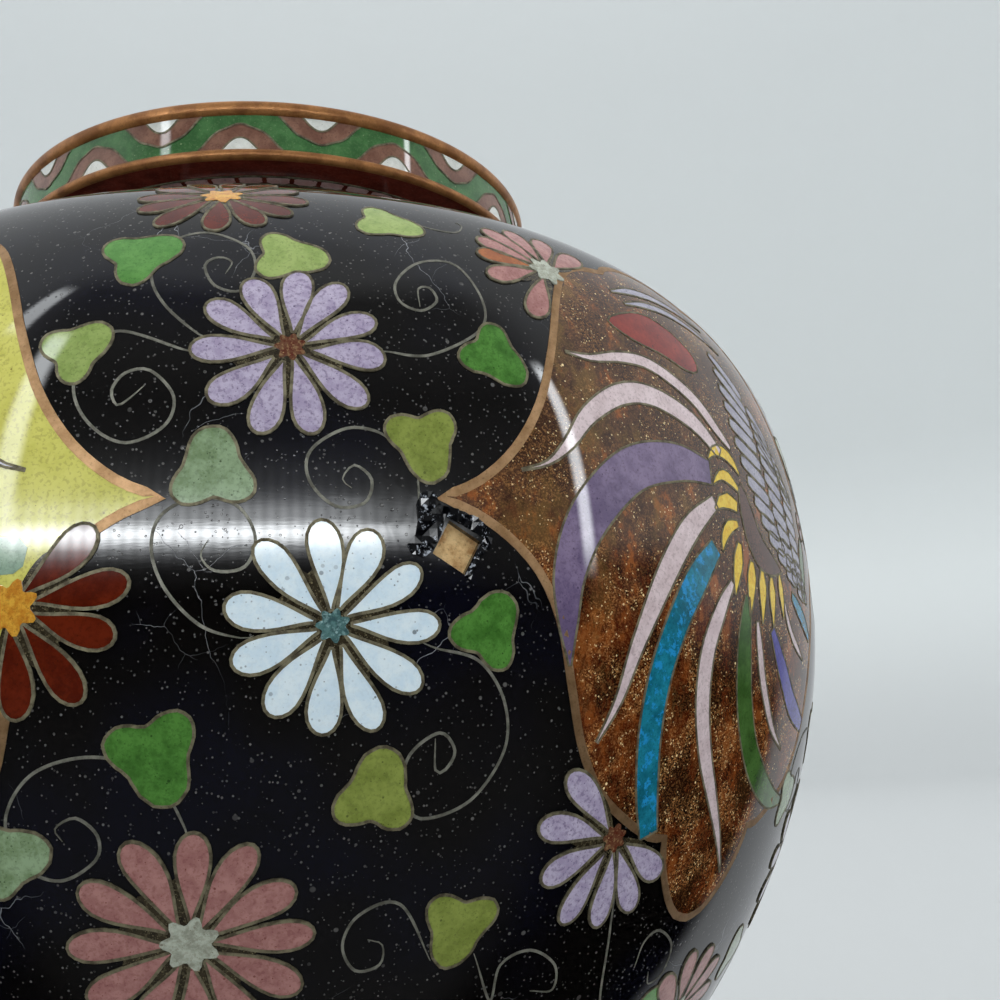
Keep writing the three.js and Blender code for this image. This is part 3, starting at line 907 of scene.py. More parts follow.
# Birds: on each panel a long-tailed bird of inlaid enamel with outspread plumes, a scaled wing and
# a collar of yellow plumelets. It faces one way on goldstone and the other on yellow.
bird_lift = lift_ground + 0.016
bird_wire_width = 0.15
mirrored_width = -0.88
plume_glass = {
    "pink_white": glass_material("pink_white_plumes", (230, 210, 212), (210, 188, 190), (116, 84, 80),
                                 pit_share=0.5, pit_size=0.05, pit_per_mm=2.4, patch=0.8),
    "lilac": glass_material("lilac_plumes", (138, 120, 150), (104, 88, 120), (60, 46, 74),
                            pit_share=0.8, pit_size=0.06, pit_per_mm=2.6, patch=0.35),
    "turquoise": glass_material("turquoise_plumes", (36, 136, 160), (22, 98, 118), (14, 48, 58),
                                pit_share=0.8, pit_size=0.06, pit_per_mm=2.4, patch=0.45,
                                stain=(40, 146, 205), stain_share=0.9),
    "moss": glass_material("moss_plumes", (78, 114, 56), (56, 88, 38), (32, 48, 24), patch=0.6),
    "violet_blue": glass_material("violet_blue_plumes", (96, 92, 170), (70, 66, 140), (40, 36, 84),
                                  patch=0.5),
    "wing_grey": glass_material("wing_grey", (176, 172, 186), (150, 146, 164), (86, 80, 96), patch=0.7),
    "yellow": glass_material("yellow_plumelets", (240, 208, 74), (230, 186, 44), (170, 90, 30),
                             pit_share=0.5, pit_size=0.06, pit_per_mm=2.4, patch=1.5),
    "sage": glass_material("sage_plume_tips", (160, 184, 160), (134, 160, 138), (96, 112, 96), patch=0.8),
    "brown": glass_material("brown_breast", (92, 62, 52), (78, 52, 44), (50, 34, 28), patch=0.5),
    "red": glass_material("red_crest", (150, 56, 44), (120, 40, 34), (70, 26, 22), patch=0.5),
}


def on_panel(degrees, height):
    """A place on a panel, given as degrees right of the middle of the gap to its left."""
    return (math.radians(degrees - panel_pitch / 2) * belly_radius, height)


def plume(points):
    """The outline of a plume from (degrees, height, half width) points along its middle."""
    spine = smooth_path([(*on_panel(u, s), half) for u, s, half in points], 0.7)
    left, right = [], []
    for i, point in enumerate(spine):
        along = spine[min(i + 1, len(spine) - 1)][:2] - spine[max(i - 1, 0)][:2]
        along = along / max(1e-6, float(np.hypot(*along)))
        half = max(0.05, float(point[2]))
        left.append(np.array((point[0] - along[1] * half, point[1] + along[0] * half)))
        right.append(np.array((point[0] + along[1] * half, point[1] - along[0] * half)))
    return left + right[::-1]


plumes = [
    ("pink_white", [(20.2, 14.5, 0.05), (22.6, 14.4, 0.25), (26.0, 15.0, 0.42), (29.5, 15.0, 0.52),
                    (34.0, 13.4, 0.56), (36.6, 11.5, 0.5), (38.5, 10.2, 0.2)]),
    ("pink_white", [(15.0, 6.2, 0.05), (17.2, 6.8, 0.15), (19.2, 8.2, 0.4), (21.4, 10.3, 0.62),
                    (24.9, 12.1, 0.75), (28.6, 12.5, 0.78), (33.2, 11.4, 0.74), (36.4, 9.5, 0.45)]),
    ("lilac", [(18.2, -5.0, 0.08), (18.0, -2.4, 0.7), (18.3, 0.4, 1.1), (20.4, 3.8, 1.4), (24.8, 7.0, 1.45),
               (30.0, 8.1, 1.3), (34.4, 7.9, 0.85)]),
    ("pink_white", [(20.9, -9.4, 0.08), (22.6, -7.0, 0.3), (24.3, -3.6, 0.55), (27.0, 0.2, 0.8),
                    (30.6, 3.7, 0.85), (34.4, 5.9, 0.5)]),
    ("turquoise", [(27.5, -15.3, 0.8), (26.5, -12.6, 0.95), (26.0, -9.0, 1.0), (26.7, -5.3, 1.0),
                   (28.6, -2.0, 1.0), (31.1, 0.7, 1.0), (33.8, 2.8, 0.65)]),
    ("pink_white", [(39.4, -18.6, 0.05), (37.2, -16.0, 0.3), (34.8, -13.2, 0.52), (32.8, -10.4, 0.68),
                    (31.7, -7.2, 0.74), (32.0, -4.0, 0.72), (33.8, -1.2, 0.58), (35.7, 0.6, 0.25)]),
    ("moss", [(50.0, -14.2, 0.3), (46.4, -13.8, 0.8), (42.6, -12.3, 1.0), (39.6, -10.1, 1.0),
              (37.7, -7.0, 1.0), (37.2, -3.6, 0.9), (37.6, -1.2, 0.6), (37.9, -0.2, 0.3)]),
    ("pink_white", [(46.8, -10.4, 0.05), (44.2, -9.2, 0.26), (42.4, -7.8, 0.38), (40.6, -5.5, 0.44),
                    (39.7, -3.1, 0.4), (39.4, -1.8, 0.2)]),
    ("violet_blue", [(52.7, -8.7, 0.5), (50.0, -7.9, 0.8), (47.4, -6.8, 0.85), (44.4, -4.4, 0.75),
                     (42.3, -2.2, 0.4)]),
    ("pink_white", [(50.9, -3.9, 0.05), (49.0, -3.2, 0.3), (47.3, -2.4, 0.34), (46.0, -1.2, 0.3),
                    (45.5, -0.1, 0.15)]),
    ("turquoise", [(53.6, -2.2, 0.3), (51.8, -1.2, 0.6), (49.6, -0.2, 0.6), (47.9, 0.6, 0.35)]),
    ("wing_grey", [(28.6, 21.4, 0.1), (32.0, 22.3, 0.4), (36.0, 22.7, 0.42), (40.0, 22.4, 0.32),
                   (43.4, 21.4, 0.05)]),
    ("wing_grey", [(29.6, 20.4, 0.1), (33.0, 21.1, 0.34), (37.0, 21.3, 0.38), (41.2, 20.6, 0.28),
                   (44.6, 19.4, 0.05)]),
    ("yellow", [(34.4, 8.9, 0.08), (35.5, 9.6, 0.34), (37.0, 9.7, 0.5), (38.3, 9.2, 0.4),
                (39.2, 8.4, 0.1)]),
    ("yellow", [(34.6, 7.2, 0.08), (35.8, 7.9, 0.36), (37.1, 7.9, 0.48), (38.5, 7.2, 0.2)]),
    ("yellow", [(34.3, 5.4, 0.08), (35.3, 6.0, 0.46), (36.5, 6.2, 0.6), (37.9, 5.9, 0.4)]),
    ("yellow", [(34.7, 2.6, 0.08), (35.2, 3.6, 0.38), (36.2, 4.4, 0.48), (37.6, 4.7, 0.25)]),
    ("yellow", [(36.0, -0.2, 0.08), (36.4, 0.9, 0.4), (37.0, 2.2, 0.6), (37.5, 3.4, 0.25)]),
    ("yellow", [(38.2, -1.5, 0.08), (38.5, -0.2, 0.42), (39.0, 1.2, 0.62), (39.3, 2.3, 0.25)]),
    ("yellow", [(40.4, -1.9, 0.08), (40.6, -0.5, 0.42), (40.9, 0.8, 0.6), (41.1, 1.8, 0.25)]),
    ("yellow", [(42.6, -2.0, 0.08), (42.6, -0.7, 0.4), (42.8, 0.5, 0.56), (42.9, 1.5, 0.25)]),
    ("yellow", [(45.0, -1.3, 0.08), (44.9, -0.1, 0.4), (44.9, 0.9, 0.5), (44.9, 1.9, 0.2)]),
    ("moss", [(52.6, 0.6, 0.4), (53.3, 2.6, 0.8), (54.4, 4.6, 0.75), (55.2, 5.5, 0.45)]),
    ("yellow", [(57.9, 6.8, 0.42), (58.6, 6.3, 0.28), (59.6, 5.5, 0.05)]),
]
breast = [(39.1, 7.8), (40.0, 7.0), (40.9, 5.4), (42.0, 4.1), (43.9, 3.1), (45.6, 2.1), (44.6, 1.8),
          (42.6, 1.6), (40.6, 2.0), (39.2, 3.2), (38.5, 4.8), (38.4, 6.6)]
head_centre, head_radius, eye_radius = (56.4, 6.9), 1.15, 0.28
crest = [(26.0, 18.0), (28.8, 19.3), (31.8, 19.8), (35.0, 18.9), (37.0, 17.3), (36.6, 15.9), (34.6, 15.6),
         (31.6, 16.3), (28.4, 16.8)]
wing_edge = [(40.9, 18.8), (39.8, 15.6), (39.4, 12.6), (39.9, 9.8), (41.2, 7.0), (43.4, 4.6), (47.0, 2.4)]
# Length of each column's feathers and how far they hang, and how near they come to the border
wing_columns = ((5.0, 0.0), (4.2, 0.35), (3.4, 0.7))
wing_limit, panel_waist = 14.6, 5.0

bird_cells = {kind: bmesh.new() for kind in plume_glass if kind != "sage"}
bird_wires = bmesh.new()


def enamel_cell(kind, shape):
    lay_cell(bird_cells[kind], shape)
    lay_wire(bird_wires, shape, bird_wire_width, closed=True)


for kind, points in plumes:
    enamel_cell(kind, plume(points))
enamel_cell("brown", smooth_path([on_panel(*p) for p in breast], 0.8, closed=True))
enamel_cell("red", smooth_path([on_panel(*p) for p in crest], 0.8, closed=True))
enamel_cell("red", turned_to(rough_disc(head_radius, 3, 0.06, 0.3, 26), 0, on_panel(*head_centre), 1.0))
eye = turned_to(rough_disc(eye_radius, 3, 0.0, 0, 12), 0, on_panel(*head_centre), 1.0)
lay_wire(bird_wires, eye, bird_wire_width, closed=True)
edge_line = smooth_path([on_panel(*p) for p in wing_edge], 1.5)
for i, point in enumerate(edge_line):
    down = i / (len(edge_line) - 1)
    lean = math.radians(float(np.interp(down, (0, 0.3, 1), (-46, -20, -14))))
    thrown = np.array((math.cos(lean), math.sin(lean)))
    for length, droop in wing_columns:
        size = length * (1 - 0.45 * down ** 2)
        centre = point + thrown * size / 2 - np.array((0, droop))
        point = point + thrown * size
        if abs(centre[0]) > wing_limit - 0.1 * abs(centre[1] - panel_waist):
            continue
        feather = [(x * size * 0.49, y * 0.6) for x, y in rough_disc(1.0, 4, 0.1, math.pi / 4, 18)]
        enamel_cell("wing_grey", turned_to(feather, lean, centre, 1.0))

yellow_tip = bmesh.new()
lay_cell(yellow_tip, plume([(54.8, 1.5, 0.5), (54.2, 1.6, 0.95), (51.4, 1.7, 0.95), (50.6, 1.8, 0.5)]))
yellow_tip = finish_flat(yellow_tip)
bird_flats = {kind: finish_flat(flat) for kind, flat in bird_cells.items()}
bird_wire_flat = finish_flat(bird_wires, pitch=None)
on_yellow = {"pink_white": "wing_grey", "lilac": "turquoise", "turquoise": "lilac", "moss": "moss",
             "violet_blue": "red", "wing_grey": "pink_white", "yellow": "red", "brown": "brown",
             "red": "violet_blue"}
bird_bms = {kind: bmesh.new() for kind in plume_glass}
bird_wire_bm = bmesh.new()
for i, gold in enumerate(panel_is_gold):
    azimuth = first_panel + i * panel_pitch
    widen = 1.0 if gold else mirrored_width
    for kind, flat in bird_flats.items():
        inlay(bird_bms[kind if gold else on_yellow[kind]], flat, azimuth, bird_lift, widen=widen)
    inlay(bird_wire_bm, bird_wire_flat, azimuth, bird_lift + lift_wire, widen=widen)
    if not gold:
        inlay(bird_bms["sage"], yellow_tip, azimuth, bird_lift)
for kind, bm in bird_bms.items():
    finish_inlay(f"bird_{kind}", bm, plume_glass[kind])
finish_inlay("bird_wires", bird_wire_bm, wire_metal)


# Neck: the short tube under the collar, coated in dark red enamel, with a row of small pink cells between
# wires where it leaves the shoulder. The cells' pale pink is raised near white, painted light for the light
# that reaches them in the shade under the collar.
neck_foot = belly_height + body_height_at(neck_radius, 1)
collar_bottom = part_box("mouth_collar")[0][2] / MM
collar_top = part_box("mouth_collar")[1][2] / MM
collar_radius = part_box("mouth_collar")[1][0] / MM
neck_coat = 0.06
neck_depth = 0.5
neck_cells = 60
neck_cell_height = 1.1
cell_row_out, cell_row_half = 1.2, 0.62
neck_wire_half = 0.11

neck_curve = curve_of([(neck_radius, neck_foot), (neck_radius, collar_bottom)], neck_radius, neck_foot)
bm = bmesh.new()
turn_profile(bm, [(neck_radius - neck_depth, neck_foot - 0.2), (neck_radius + neck_coat, neck_foot - 0.05),
                  (neck_radius + neck_coat, collar_bottom + 0.3),
                  (neck_radius - neck_depth, collar_bottom + 0.3),
                  (neck_radius - neck_depth, neck_foot - 0.2)], around_body)
neck_red = glass_material("neck_red", (130, 56, 42), (94, 38, 28), (140, 80, 66), patch=0.6)
finish_inlay("neck_enamel", bm, neck_red, neck_curve)
# Pale pink pushed near white: painted light, standing in for light bounced up into the shade under the
# collar.
neck_pink_painted_light = glass_material("neck_pink_painted_light", (252, 226, 220), (236, 196, 190), (150, 100, 92), patch=0.8,
                           grain_share=0.1)
soffit_radius = neck_radius + cell_row_out
soffit_curve = curve_of([(neck_radius + 0.2, collar_bottom - 0.001), (neck_radius + 4.0, collar_bottom)],
                        soffit_radius, collar_bottom)
soffit_curve["s"] = soffit_curve["r"] - soffit_radius
pitch = 2 * math.pi * soffit_radius / neck_cells
cell = bmesh.new()
cell_shape = rough_disc(1.0, 4, 0.12, 0.785, 12)
lay_cell(cell, [(x * pitch * 0.46, y * neck_cell_height / 2) for x, y in cell_shape])
cell = finish_flat(cell)
pink_bm = bmesh.new()
for i in range(neck_cells):
    inlay(pink_bm, cell, i * 360 / neck_cells, 0.03, soffit_curve)
neck_cell_row = new_object("neck_cells", pink_bm, [neck_pink_painted_light])
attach(neck_cell_row, "root")
bm = bmesh.new()
for height, radius in ((neck_foot + 0.12, neck_radius + 0.16),
                       (collar_bottom, soffit_radius - cell_row_half),
                       (collar_bottom, soffit_radius + cell_row_half)):
    section_place = Matrix.Translation((radius * MM, 0, height * MM)) @ Matrix.Rotation(math.pi / 2, 4, "X")
    bmesh.ops.create_circle(bm, segments=8, radius=neck_wire_half * MM, matrix=section_place)
bmesh.ops.spin(bm, geom=bm.verts[:] + bm.edges[:], axis=(0, 0, 1), cent=(0, 0, 0), angle=2 * math.pi,
               steps=around_body, use_merge=True)
bmesh.ops.recalc_face_normals(bm, faces=bm.faces)
neck_wires = new_object("neck_wires", bm, [wire_metal])
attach(neck_wires, "root")


# Collar: a flat copper ring soldered round the neck, rebated on top for the lid. Its two rounded
# lips stand proud of an enamelled band: a green ribbon between brown lobes with white buds.
band_inset = 0.35
lower_lip, upper_lip = 0.9, 1.25
lower_lip_depth, upper_lip_depth = 0.45, 0.5
rim_width = 2.3
rim_ease = 0.5
neck_seam = 0.3
band_radius = collar_radius - band_inset
rim_inner = collar_radius - rim_width
bore_radius = neck_radius + neck_seam
ledge_height = neck_top
band_bottom = collar_bottom + lower_lip
band_top = collar_top - upper_lip
band_middle = (band_bottom + band_top) / 2
band_half = (band_top - band_bottom) / 2
periods = 12
lobe_half, lobe_reach = 3.0, 2.2
bud_half, bud_reach = 1.25, 1.05
top_bud_azimuth = 8.0
band_wire_width = 0.15

lip_copper = copper_material("lip_copper", (186, 128, 76), (140, 90, 48), 0.5, 0.34, metallic=0.3)


def lip(bottom, top, outer, depth):
    """A rounded lip in section, from its bottom to its top."""
    turns = [math.pi * (i / 9 - 0.5) for i in range(10)]
    middle, half = (bottom + top) / 2, (top - bottom) / 2
    return [(outer - depth + depth * math.cos(a) ** 0.7, middle + half * math.sin(a)) for a in turns]


section = [(bore_radius, collar_bottom)]
section += lip(collar_bottom, band_bottom, collar_radius, lower_lip_depth)
section += [(band_radius, band_bottom + 0.01), (band_radius, band_top - 0.01)]
section += lip(band_top, collar_top, collar_radius, upper_lip_depth)
section += [(rim_inner + rim_ease, collar_top), (rim_inner + 0.12, collar_top - 0.12),
            (rim_inner, collar_top - rim_ease), (rim_inner, ledge_height), (bore_radius, ledge_height),
            (bore_radius, collar_bottom)]
bm = bmesh.new()
turn_profile(bm, section, around_body)
for face in bm.faces:
    middle = face.calc_center_median() / MM
    if middle.z < collar_bottom + 0.01 and math.hypot(middle.x, middle.y) < collar_radius - 0.6:
        face.material_index = 1
collar = new_object("mouth_ring", bm, [lip_copper, neck_red])
collar.data.set_sharp_from_angle(angle=math.radians(40))
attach(collar, "root")
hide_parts("mouth_collar")

band_curve = curve_of([(band_radius, band_bottom), (band_radius, band_top)], band_radius, band_middle)
band_green = glass_material("band_green", (86, 132, 80), (62, 104, 60), (150, 172, 128), patch=0.5,
                            pit_share=0.4, grain_share=0.1)
band_brown = glass_material("band_brown", (152, 112, 94), (124, 86, 72), (84, 60, 56), patch=0.5)
band_white = glass_material("band_white", (246, 246, 240), (226, 226, 218), (130, 126, 118), patch=0.8,
                            pit_share=0.4, grain_share=0.05)
period = 2 * math.pi * band_radius / periods
ribbon, lobes, buds, wires = bmesh.new(), bmesh.new(), bmesh.new(), bmesh.new()
edge = band_half - 0.01
lay_cell(ribbon, [(-period / 2, -edge), (period / 2, -edge), (period / 2, edge), (-period / 2, edge)])


def band_arch(half, reach, side, flare, waves=0.0):
    """A lobe that hangs from one edge of the band: wide at the lip, round at the end."""
    arch = []
    for i in range(25):
        t = -1 + 2 * i / 24
        x = half * t * (1 + flare * abs(t) ** 3)
        y = reach * (1 - abs(t) ** 2.2) + waves * math.cos(3 * math.pi * t)
        arch.append(np.array((x, side * (band_half - max(0.02, y)))))
    return arch


for side, shift in ((1, 0.0), (-1, period / 2)):
    for half, reach, flat, rough in ((lobe_half, lobe_reach, lobes, 0.08), (bud_half, bud_reach, buds, 0.0)):
        arch = [point + np.array((shift, 0)) for point in band_arch(half, reach, side, 0.12, rough)]
        lay_cell(flat, arch)
        lay_wire(wires, arch, band_wire_width)
ribbon, lobes, buds, wires = (finish_flat(flat) for flat in (ribbon, lobes, buds, wires))
band_parts = [("band_ribbon", ribbon, 0.01, band_green, "black_enamel"),
              ("band_lobes", lobes, 0.03, band_brown, "black_enamel"),
              ("band_buds", buds, 0.05, band_white, "black_enamel"),
              ("band_wires", wires, 0.065, wire_metal, "copper")]
for name, flat, lift, material, slot in band_parts:
    bm = bmesh.new()
    for i in range(periods):
        inlay(bm, flat, top_bud_azimuth + i * 360 / periods, lift, band_curve)
    finish_inlay(name, bm, material, band_curve)


# Lid: a low dome of enamelled copper with a flat sunk rim and a ring that drops into the neck.
# It is hidden in the photograph, so it is finished like the shoulder, and plainer.
lid_low, lid_high = (corner[2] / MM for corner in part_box("lid"))
lid_rim_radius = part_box("lid")[1][0] / MM
lid_rim_width, lid_rim_thickness, lid_rim_ease = 2.6, 1.2, 0.15
dome_flat = 3.6
dome_rise = 6.0
ring_outer, ring_inner = 18.0, 16.7
lid_ring_of_flowers = 12.0
around_lid = 120
dome_radius = lid_rim_radius - lid_rim_width
dome_foot = lid_high - dome_rise
rim_bottom = dome_foot - lid_rim_thickness
dome_full = math.sqrt(1 - (dome_flat / dome_radius) ** 2)


def dome_at(radius):
    return dome_foot + dome_rise * math.sqrt(max(0.0, 1 - (radius / dome_radius) ** 2)) / dome_full


dome_line = [(dome_radius * math.sin(a), dome_at(dome_radius * math.sin(a)))
             for a in np.linspace(math.pi / 2, math.asin(dome_flat / dome_radius), 26)]
under_line = [(r * ring_inner / dome_radius, rim_bottom + (z - dome_foot) * (dome_rise - 0.1) / dome_rise)
              for r, z in reversed(dome_line)]
lid_profile = [(0, under_line[0][1])] + under_line
lid_profile += [(ring_inner, lid_low), (ring_outer, lid_low), (ring_outer, rim_bottom)]
lid_profile += [(lid_rim_radius, rim_bottom), (lid_rim_radius, dome_foot - lid_rim_ease)]
lid_profile += [(lid_rim_radius - lid_rim_ease, dome_foot)]
lid_profile += dome_line + [(0, lid_high)]
bm = bmesh.new()
turn_profile(bm, lid_profile, around_lid)
for face in bm.faces:
    middle = face.calc_center_median() / MM
    around = math.hypot(middle.x, middle.y)
    if middle.z < dome_foot - 0.1 and around > ring_outer - 0.1 or around > dome_radius:
        face.material_index = 1
    elif face.normal.z < -0.1 or middle.z < rim_bottom:
        face.material_index = 2
lid_shell = new_object("lid_shell", bm, [black_enamel, lip_copper, counter_enamel])
lid_shell.data.set_sharp_from_angle(angle=math.radians(35))
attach(lid_shell, "root")
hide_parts("lid")

dome_curve = curve_of(dome_line, lid_ring_of_flowers, dome_at(lid_ring_of_flowers))
lid_flower_radius, lid_heart_radius, lid_leaf_half = 3.4, 0.6, 1.5
lid_petals, lid_hearts, lid_wires, lid_leaves = bmesh.new(), bmesh.new(), bmesh.new(), bmesh.new()
for i in range(9):
    petal = turned_to(petal_outline(0.5, lid_flower_radius, 0.95), i * 2 * math.pi / 9, (0, 0), 1.0)
    lay_cell(lid_petals, petal)
    lay_wire(lid_wires, petal, wire_width, closed=True)
lay_cell(lid_hearts, rough_disc(lid_heart_radius, 5, 0.1, 0, 16))
leaf = []
for angle in np.linspace(0, 2 * math.pi, 30, endpoint=False):
    reach = lid_leaf_half * leaf_lobes(angle)
    leaf.append((reach * math.cos(angle), reach * math.sin(angle)))
lay_cell(lid_leaves, leaf)
leaf_edge = bmesh.new()
lay_wire(leaf_edge, leaf, wire_width, closed=True)
lid_petals, lid_hearts, lid_leaves = (finish_flat(flat) for flat in (lid_petals, lid_hearts, lid_leaves))
lid_wires, leaf_edge = finish_flat(lid_wires, None), finish_flat(leaf_edge, None)
lid_metal, leaves_bm, hearts_bm = bmesh.new(), bmesh.new(), bmesh.new()
petals_by_kind = {kind: bmesh.new() for kind in ("lavender", "white", "pink")}
for i in range(6):
    kind = ("lavender", "white", "pink")[i % 3]
    inlay(petals_by_kind[kind], lid_petals, i * 60, lift_flower, dome_curve)
    inlay(hearts_bm, lid_hearts, i * 60, lift_flower + lift_wire, dome_curve)
    inlay(lid_metal, lid_wires, i * 60, lift_flower + lift_wire, dome_curve)
    inlay(leaves_bm, lid_leaves, i * 60 + 30, lift_leaf, dome_curve)
    inlay(lid_metal, leaf_edge, i * 60 + 30, lift_leaf + lift_wire, dome_curve)
for kind, bm in petals_by_kind.items():
    finish_inlay(f"lid_{kind}_petals", bm, petal_glass[kind], dome_curve)
finish_inlay("lid_leaves", leaves_bm, leaf_glass["bright"], dome_curve)
finish_inlay("lid_flower_hearts", hearts_bm, heart_glass["red"], dome_curve)
finish_inlay("lid_wires", lid_metal, wire_metal, dome_curve)


# Knob: a small button turned from copper alloy, on a narrow stem, riveted through the middle of the
# lid. It is hidden in the photograph and left plain.
knob_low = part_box("lid_knob")[0][2] / MM
around_knob = 64
knob_outline = [(0, 0), (2.9, 0), (2.9, 0.5), (2.5, 0.85), (1.9, 1.25), (1.7, 1.7), (1.7, 2.5), (2.1, 2.8),
                (2.85, 3.15), (3.3, 3.65), (3.4, 4.1), (3.3, 4.6), (2.9, 5.15), (2.3, 5.6), (1.5, 5.85),
                (0.8, 5.97), (0, 6.0)]
bm = bmesh.new()
turn_profile(bm, [(r, knob_low + z) for r, z in knob_outline], around_knob)
knob = new_object("knob_button", bm, [lip_copper])
knob.data.set_sharp_from_angle(angle=math.radians(50))
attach(knob, "root")
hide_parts("lid_knob")


# Feet: three waisted stubs cast in copper alloy and soldered under the bowl. Their heads follow
# the bowl's curve, so that no gap shows round the joint.
foot_circle = 26.0
around_foot = 48
foot_copper = copper_material("foot_copper", (158, 106, 58), (108, 70, 38), 0.3, 0.4)
foot_sink = 0.05
foot_outline = [(0, 0), (3.9, 0), (4.2, 0.1), (4.8, 0.5), (5.2, 1.1), (5.35, 1.9), (5.25, 2.6), (4.9, 3.3),
                (4.5, 4.2), (4.2, 5.2), (4.1, 6.2), (4.2, 7.3), (4.5, 8.5), (5.0, 9.8), (5.6, 11.2),
                (6.1, 12.3), (6.2, 13.2), (6.2, 20.0), (4.6, 20.0), (3.0, 20.0), (1.5, 20.0), (0, 20.0)]
for number in (1, 2, 3):
    bm = bmesh.new()
    turn_profile(bm, foot_outline, around_foot)
    place = outward(math.radians((number - 1) * 120)) * foot_circle * MM
    bmesh.ops.translate(bm, verts=bm.verts, vec=place)
    for vert in bm.verts:
        around = max(base_radius, math.hypot(vert.co.x, vert.co.y) / MM)
        under = belly_height + body_height_at(around, -1)
        vert.co.z = min(vert.co.z, (under + foot_sink) * MM)
    bmesh.ops.remove_doubles(bm, verts=bm.verts, dist=5e-6)
    bmesh.ops.recalc_face_normals(bm, faces=bm.faces)
    stub = new_object(f"foot_stub_{number}", bm, [foot_copper])
    stub.data.set_sharp_from_angle(angle=math.radians(40))
    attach(stub, "root")
    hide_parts(f"foot_{number}")


# Floor and light: a pale sheet that runs from under the jar up into a wall all round, with light and shade
# painted into its colour by height, a pale room that the glass reflects, dark in front where the camera is
# held, and a few long soft lamps.
sheet_reach, sheet_bend, sheet_top = 1.2, 0.5, 1.9
around_sheet = 64
bend = [(sheet_reach + sheet_bend * math.sin(a), sheet_bend - sheet_bend * math.cos(a))
        for a in np.linspace(0, math.pi / 2, 13)]
bm = bmesh.new()
sheet_line = [(0, 0)] + bend + [(sheet_reach + sheet_bend, sheet_top)]
turn_profile(bm, [(r / MM, z / MM) for r, z in sheet_line], around_sheet)
bmesh.ops.reverse_faces(bm, faces=bm.faces)
paper, tree, shader = new_material("pale_sheet", Roughness=0.9, Specular_IOR_Level=0.0)
height = node(tree, "ShaderNodeSeparateXYZ", Vector=node(tree, "ShaderNodeTexCoord")["Object"])[2]
# Painted shading: the sheet is darker on the floor, lightest low on the wall and dimmer higher up, standing
# in for how the room's light falls on it.
low_wall = ramp(tree, height, 0.0, 0.3)
high_wall = node(tree, "ShaderNodeMapRange", Value=height, From_Min=0.3, From_Max=1.2, To_Max=0.55)[0]
painted_shading_tint = mix_colour(tree, low_wall, (0.446, 0.46, 0.466), (0.62, 0.645, 0.648))
painted_shading_tint = mix_colour(tree, high_wall, painted_shading_tint, (0.474, 0.495, 0.502))
paint(tree, shader, painted_shading_tint)
sheet = new_object("pale_sheet", bm, [paper])
sheet.visible_glossy = False

world = bpy.data.worlds.new("room")
bpy.context.scene.world = world
world.use_nodes = True
world.cycles.sampling_method = "NONE"
tree = world.node_tree
toward = node(tree, "ShaderNodeSeparateXYZ", Vector=node(tree, "ShaderNodeTexCoord")["Generated"])
elevation = times(tree, math_node(tree, "ARCSINE", toward[2]), 180 / math.pi)
bearing = math_node(tree, "ARCTAN2", toward[0], times(tree, toward[1], -1.0))
bearing = times(tree, bearing, 180 / math.pi)
aside = math_node(tree, "ABSOLUTE", bearing)


def by_elevation(stops):
    """A brightness that follows elevation through (degrees, value) stops."""
    made = tree.nodes.new("ShaderNodeValToRGB")
    while len(made.color_ramp.elements) < len(stops):
        made.color_ramp.elements.new(0.5)
    for element, (degrees, value) in zip(made.color_ramp.elements, stops):
        element.position = (degrees + 90) / 180
        element.color = (value, value, value, 1)
    tree.links.new(node(tree, "ShaderNodeMapRange", Value=elevation, From_Min=-90.0, From_Max=90.0)[0],
                   made.inputs["Fac"])
    return made.outputs["Color"]


in_front = by_elevation([(-90, 0.1), (-30, 0.08), (-12, 0.02), (2, 0.0), (9, 0.08), (14, 0.18), (22, 0.15),
                         (31, 0.09), (42, 0.17), (57, 0.17), (66, 0.55)])
at_side = by_elevation([(-90, 0.0), (-8, 0.0), (-4, 0.15), (4, 0.6), (15, 0.8), (45, 0.6), (64, 0.62)])
behind = by_elevation([(-90, 0.5), (-20, 0.56), (5, 0.58), (60, 0.62)])
low_side = times(tree, ramp(tree, aside, 90.0, 74.0), ramp(tree, elevation, 12.0, 9.0))
at_side = mix_colour(tree, times(tree, low_side, 0.9), at_side, (0.0, 0.0, 0.0))
room = mix_colour(tree, ramp(tree, aside, 48.0, 72.0), in_front, at_side)
room = mix_colour(tree, ramp(tree, aside, 114.0, 122.0), room, behind)
window = by_elevation([(8.8, 0.0), (9.6, 0.005), (10.2, 0.025), (10.8, 0.08), (11.3, 0.2), (11.8, 0.42),
                       (12.2, 1.0), (13.0, 1.0), (13.4, 0.4), (13.9, 0.2), (15.1, 0.19), (15.7, 0.09),
                       (16.5, 0.05), (17.8, 0.02), (21.3, 0.005), (24.3, 0)])
span = times(tree, ramp(tree, bearing, -50.0, -46.0), ramp(tree, bearing, 40.0, 0.0))
beads = math_node(tree, "SINE", times(tree, bearing, 2.85))
span = times(tree, span, times_plus(tree, beads, 0.14, 1.0))
glow = node(tree, "ShaderNodeVectorMath", {"operation": "SCALE"}, Vector=window,
            Scale=times(tree, span, 28.0))[0]
room = vector_node(tree, "ADD", room, glow)
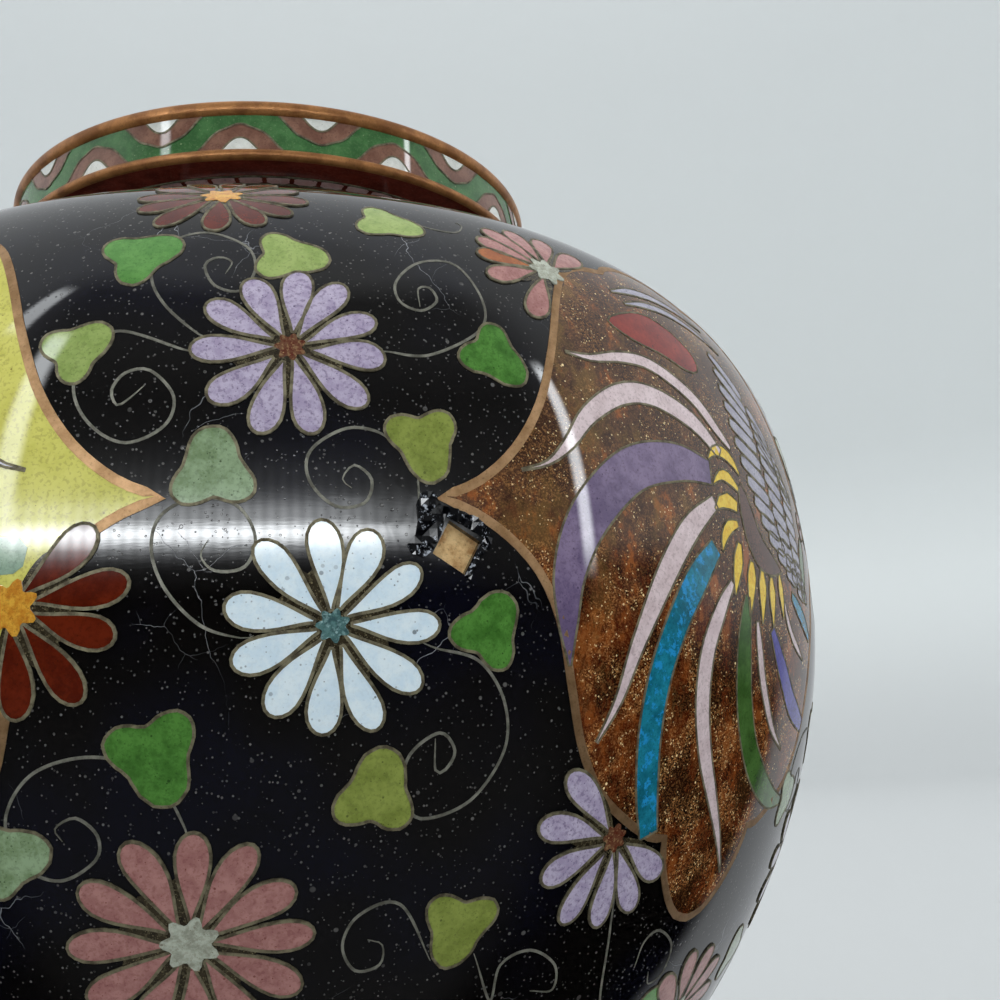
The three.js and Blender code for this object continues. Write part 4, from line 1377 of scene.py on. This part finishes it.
# Upright lamps: left and right bearing, lowest and highest elevation, blur at the sides, brightness
lamps = ((-49.4, -47.6, 15, 42, 2.2, 8.0), (58.6, 59.5, 12, 36, 1.6, 12.0), (-61.5, -59.0, 46, 54, 2.0, 5.0))
for left, right, low, high, blur, value in lamps:
    glow = ramp(tree, bearing, left - blur, left)
    for falling in (ramp(tree, bearing, right + blur, right), ramp(tree, elevation, low - 4.0, low),
                    ramp(tree, elevation, high + 4.0, high), value):
        glow = times(tree, glow, falling)
    room = vector_node(tree, "ADD", room, glow)
room = vector_node(tree, "MULTIPLY", room, (0.96, 1.0, 1.03))
seen_in_glass = node(tree, "ShaderNodeLightPath")["Is Glossy Ray"]
above = ramp(tree, elevation, -25.0, 60.0)
cloth = mix_colour(tree, above, (1.16, 1.18, 1.19), (2.42, 2.46, 2.48))
light = mix_colour(tree, seen_in_glass, cloth, room)
tree.links.new(light, tree.nodes["Background"].inputs["Color"])


# Camera: a telephone held low and close in front of the jar, turned a little to the right and tipped
# up, as in the photograph. Its distance, turn and lens come from a fit to the jar's outline.
camera_distance = 106.8
camera_below_belly = 10.0
camera_yaw = 0.1988
camera_pitch = 0.2283
camera_roll = -0.0525
sensor_width = 36.0
focal_pixels = 1120.0
photo_width = 1000.0

look = Vector((
    math.sin(camera_yaw) * math.cos(camera_pitch),
    math.cos(camera_yaw) * math.cos(camera_pitch),
    math.sin(camera_pitch),
))
level_right = Vector((math.cos(camera_yaw), -math.sin(camera_yaw), 0.0))
level_up = level_right.cross(look)
camera_right = level_right * math.cos(camera_roll) + level_up * math.sin(camera_roll)
camera_up = level_up * math.cos(camera_roll) - level_right * math.sin(camera_roll)
camera_data = bpy.data.cameras.new("camera")
camera_data.sensor_width = sensor_width
camera_data.lens = focal_pixels * sensor_width / photo_width
camera_data.clip_start = 0.002
camera = bpy.data.objects.new("camera", camera_data)
turn = Matrix((camera_right, camera_up, -look)).transposed().to_4x4()
stand = Vector((0.0, -camera_distance, belly_height - camera_below_belly)) * MM
camera.matrix_world = Matrix.Translation(stand) @ turn
bpy.context.collection.objects.link(camera)
bpy.context.scene.camera = camera
bpy.context.scene.view_settings.view_transform = "Standard"
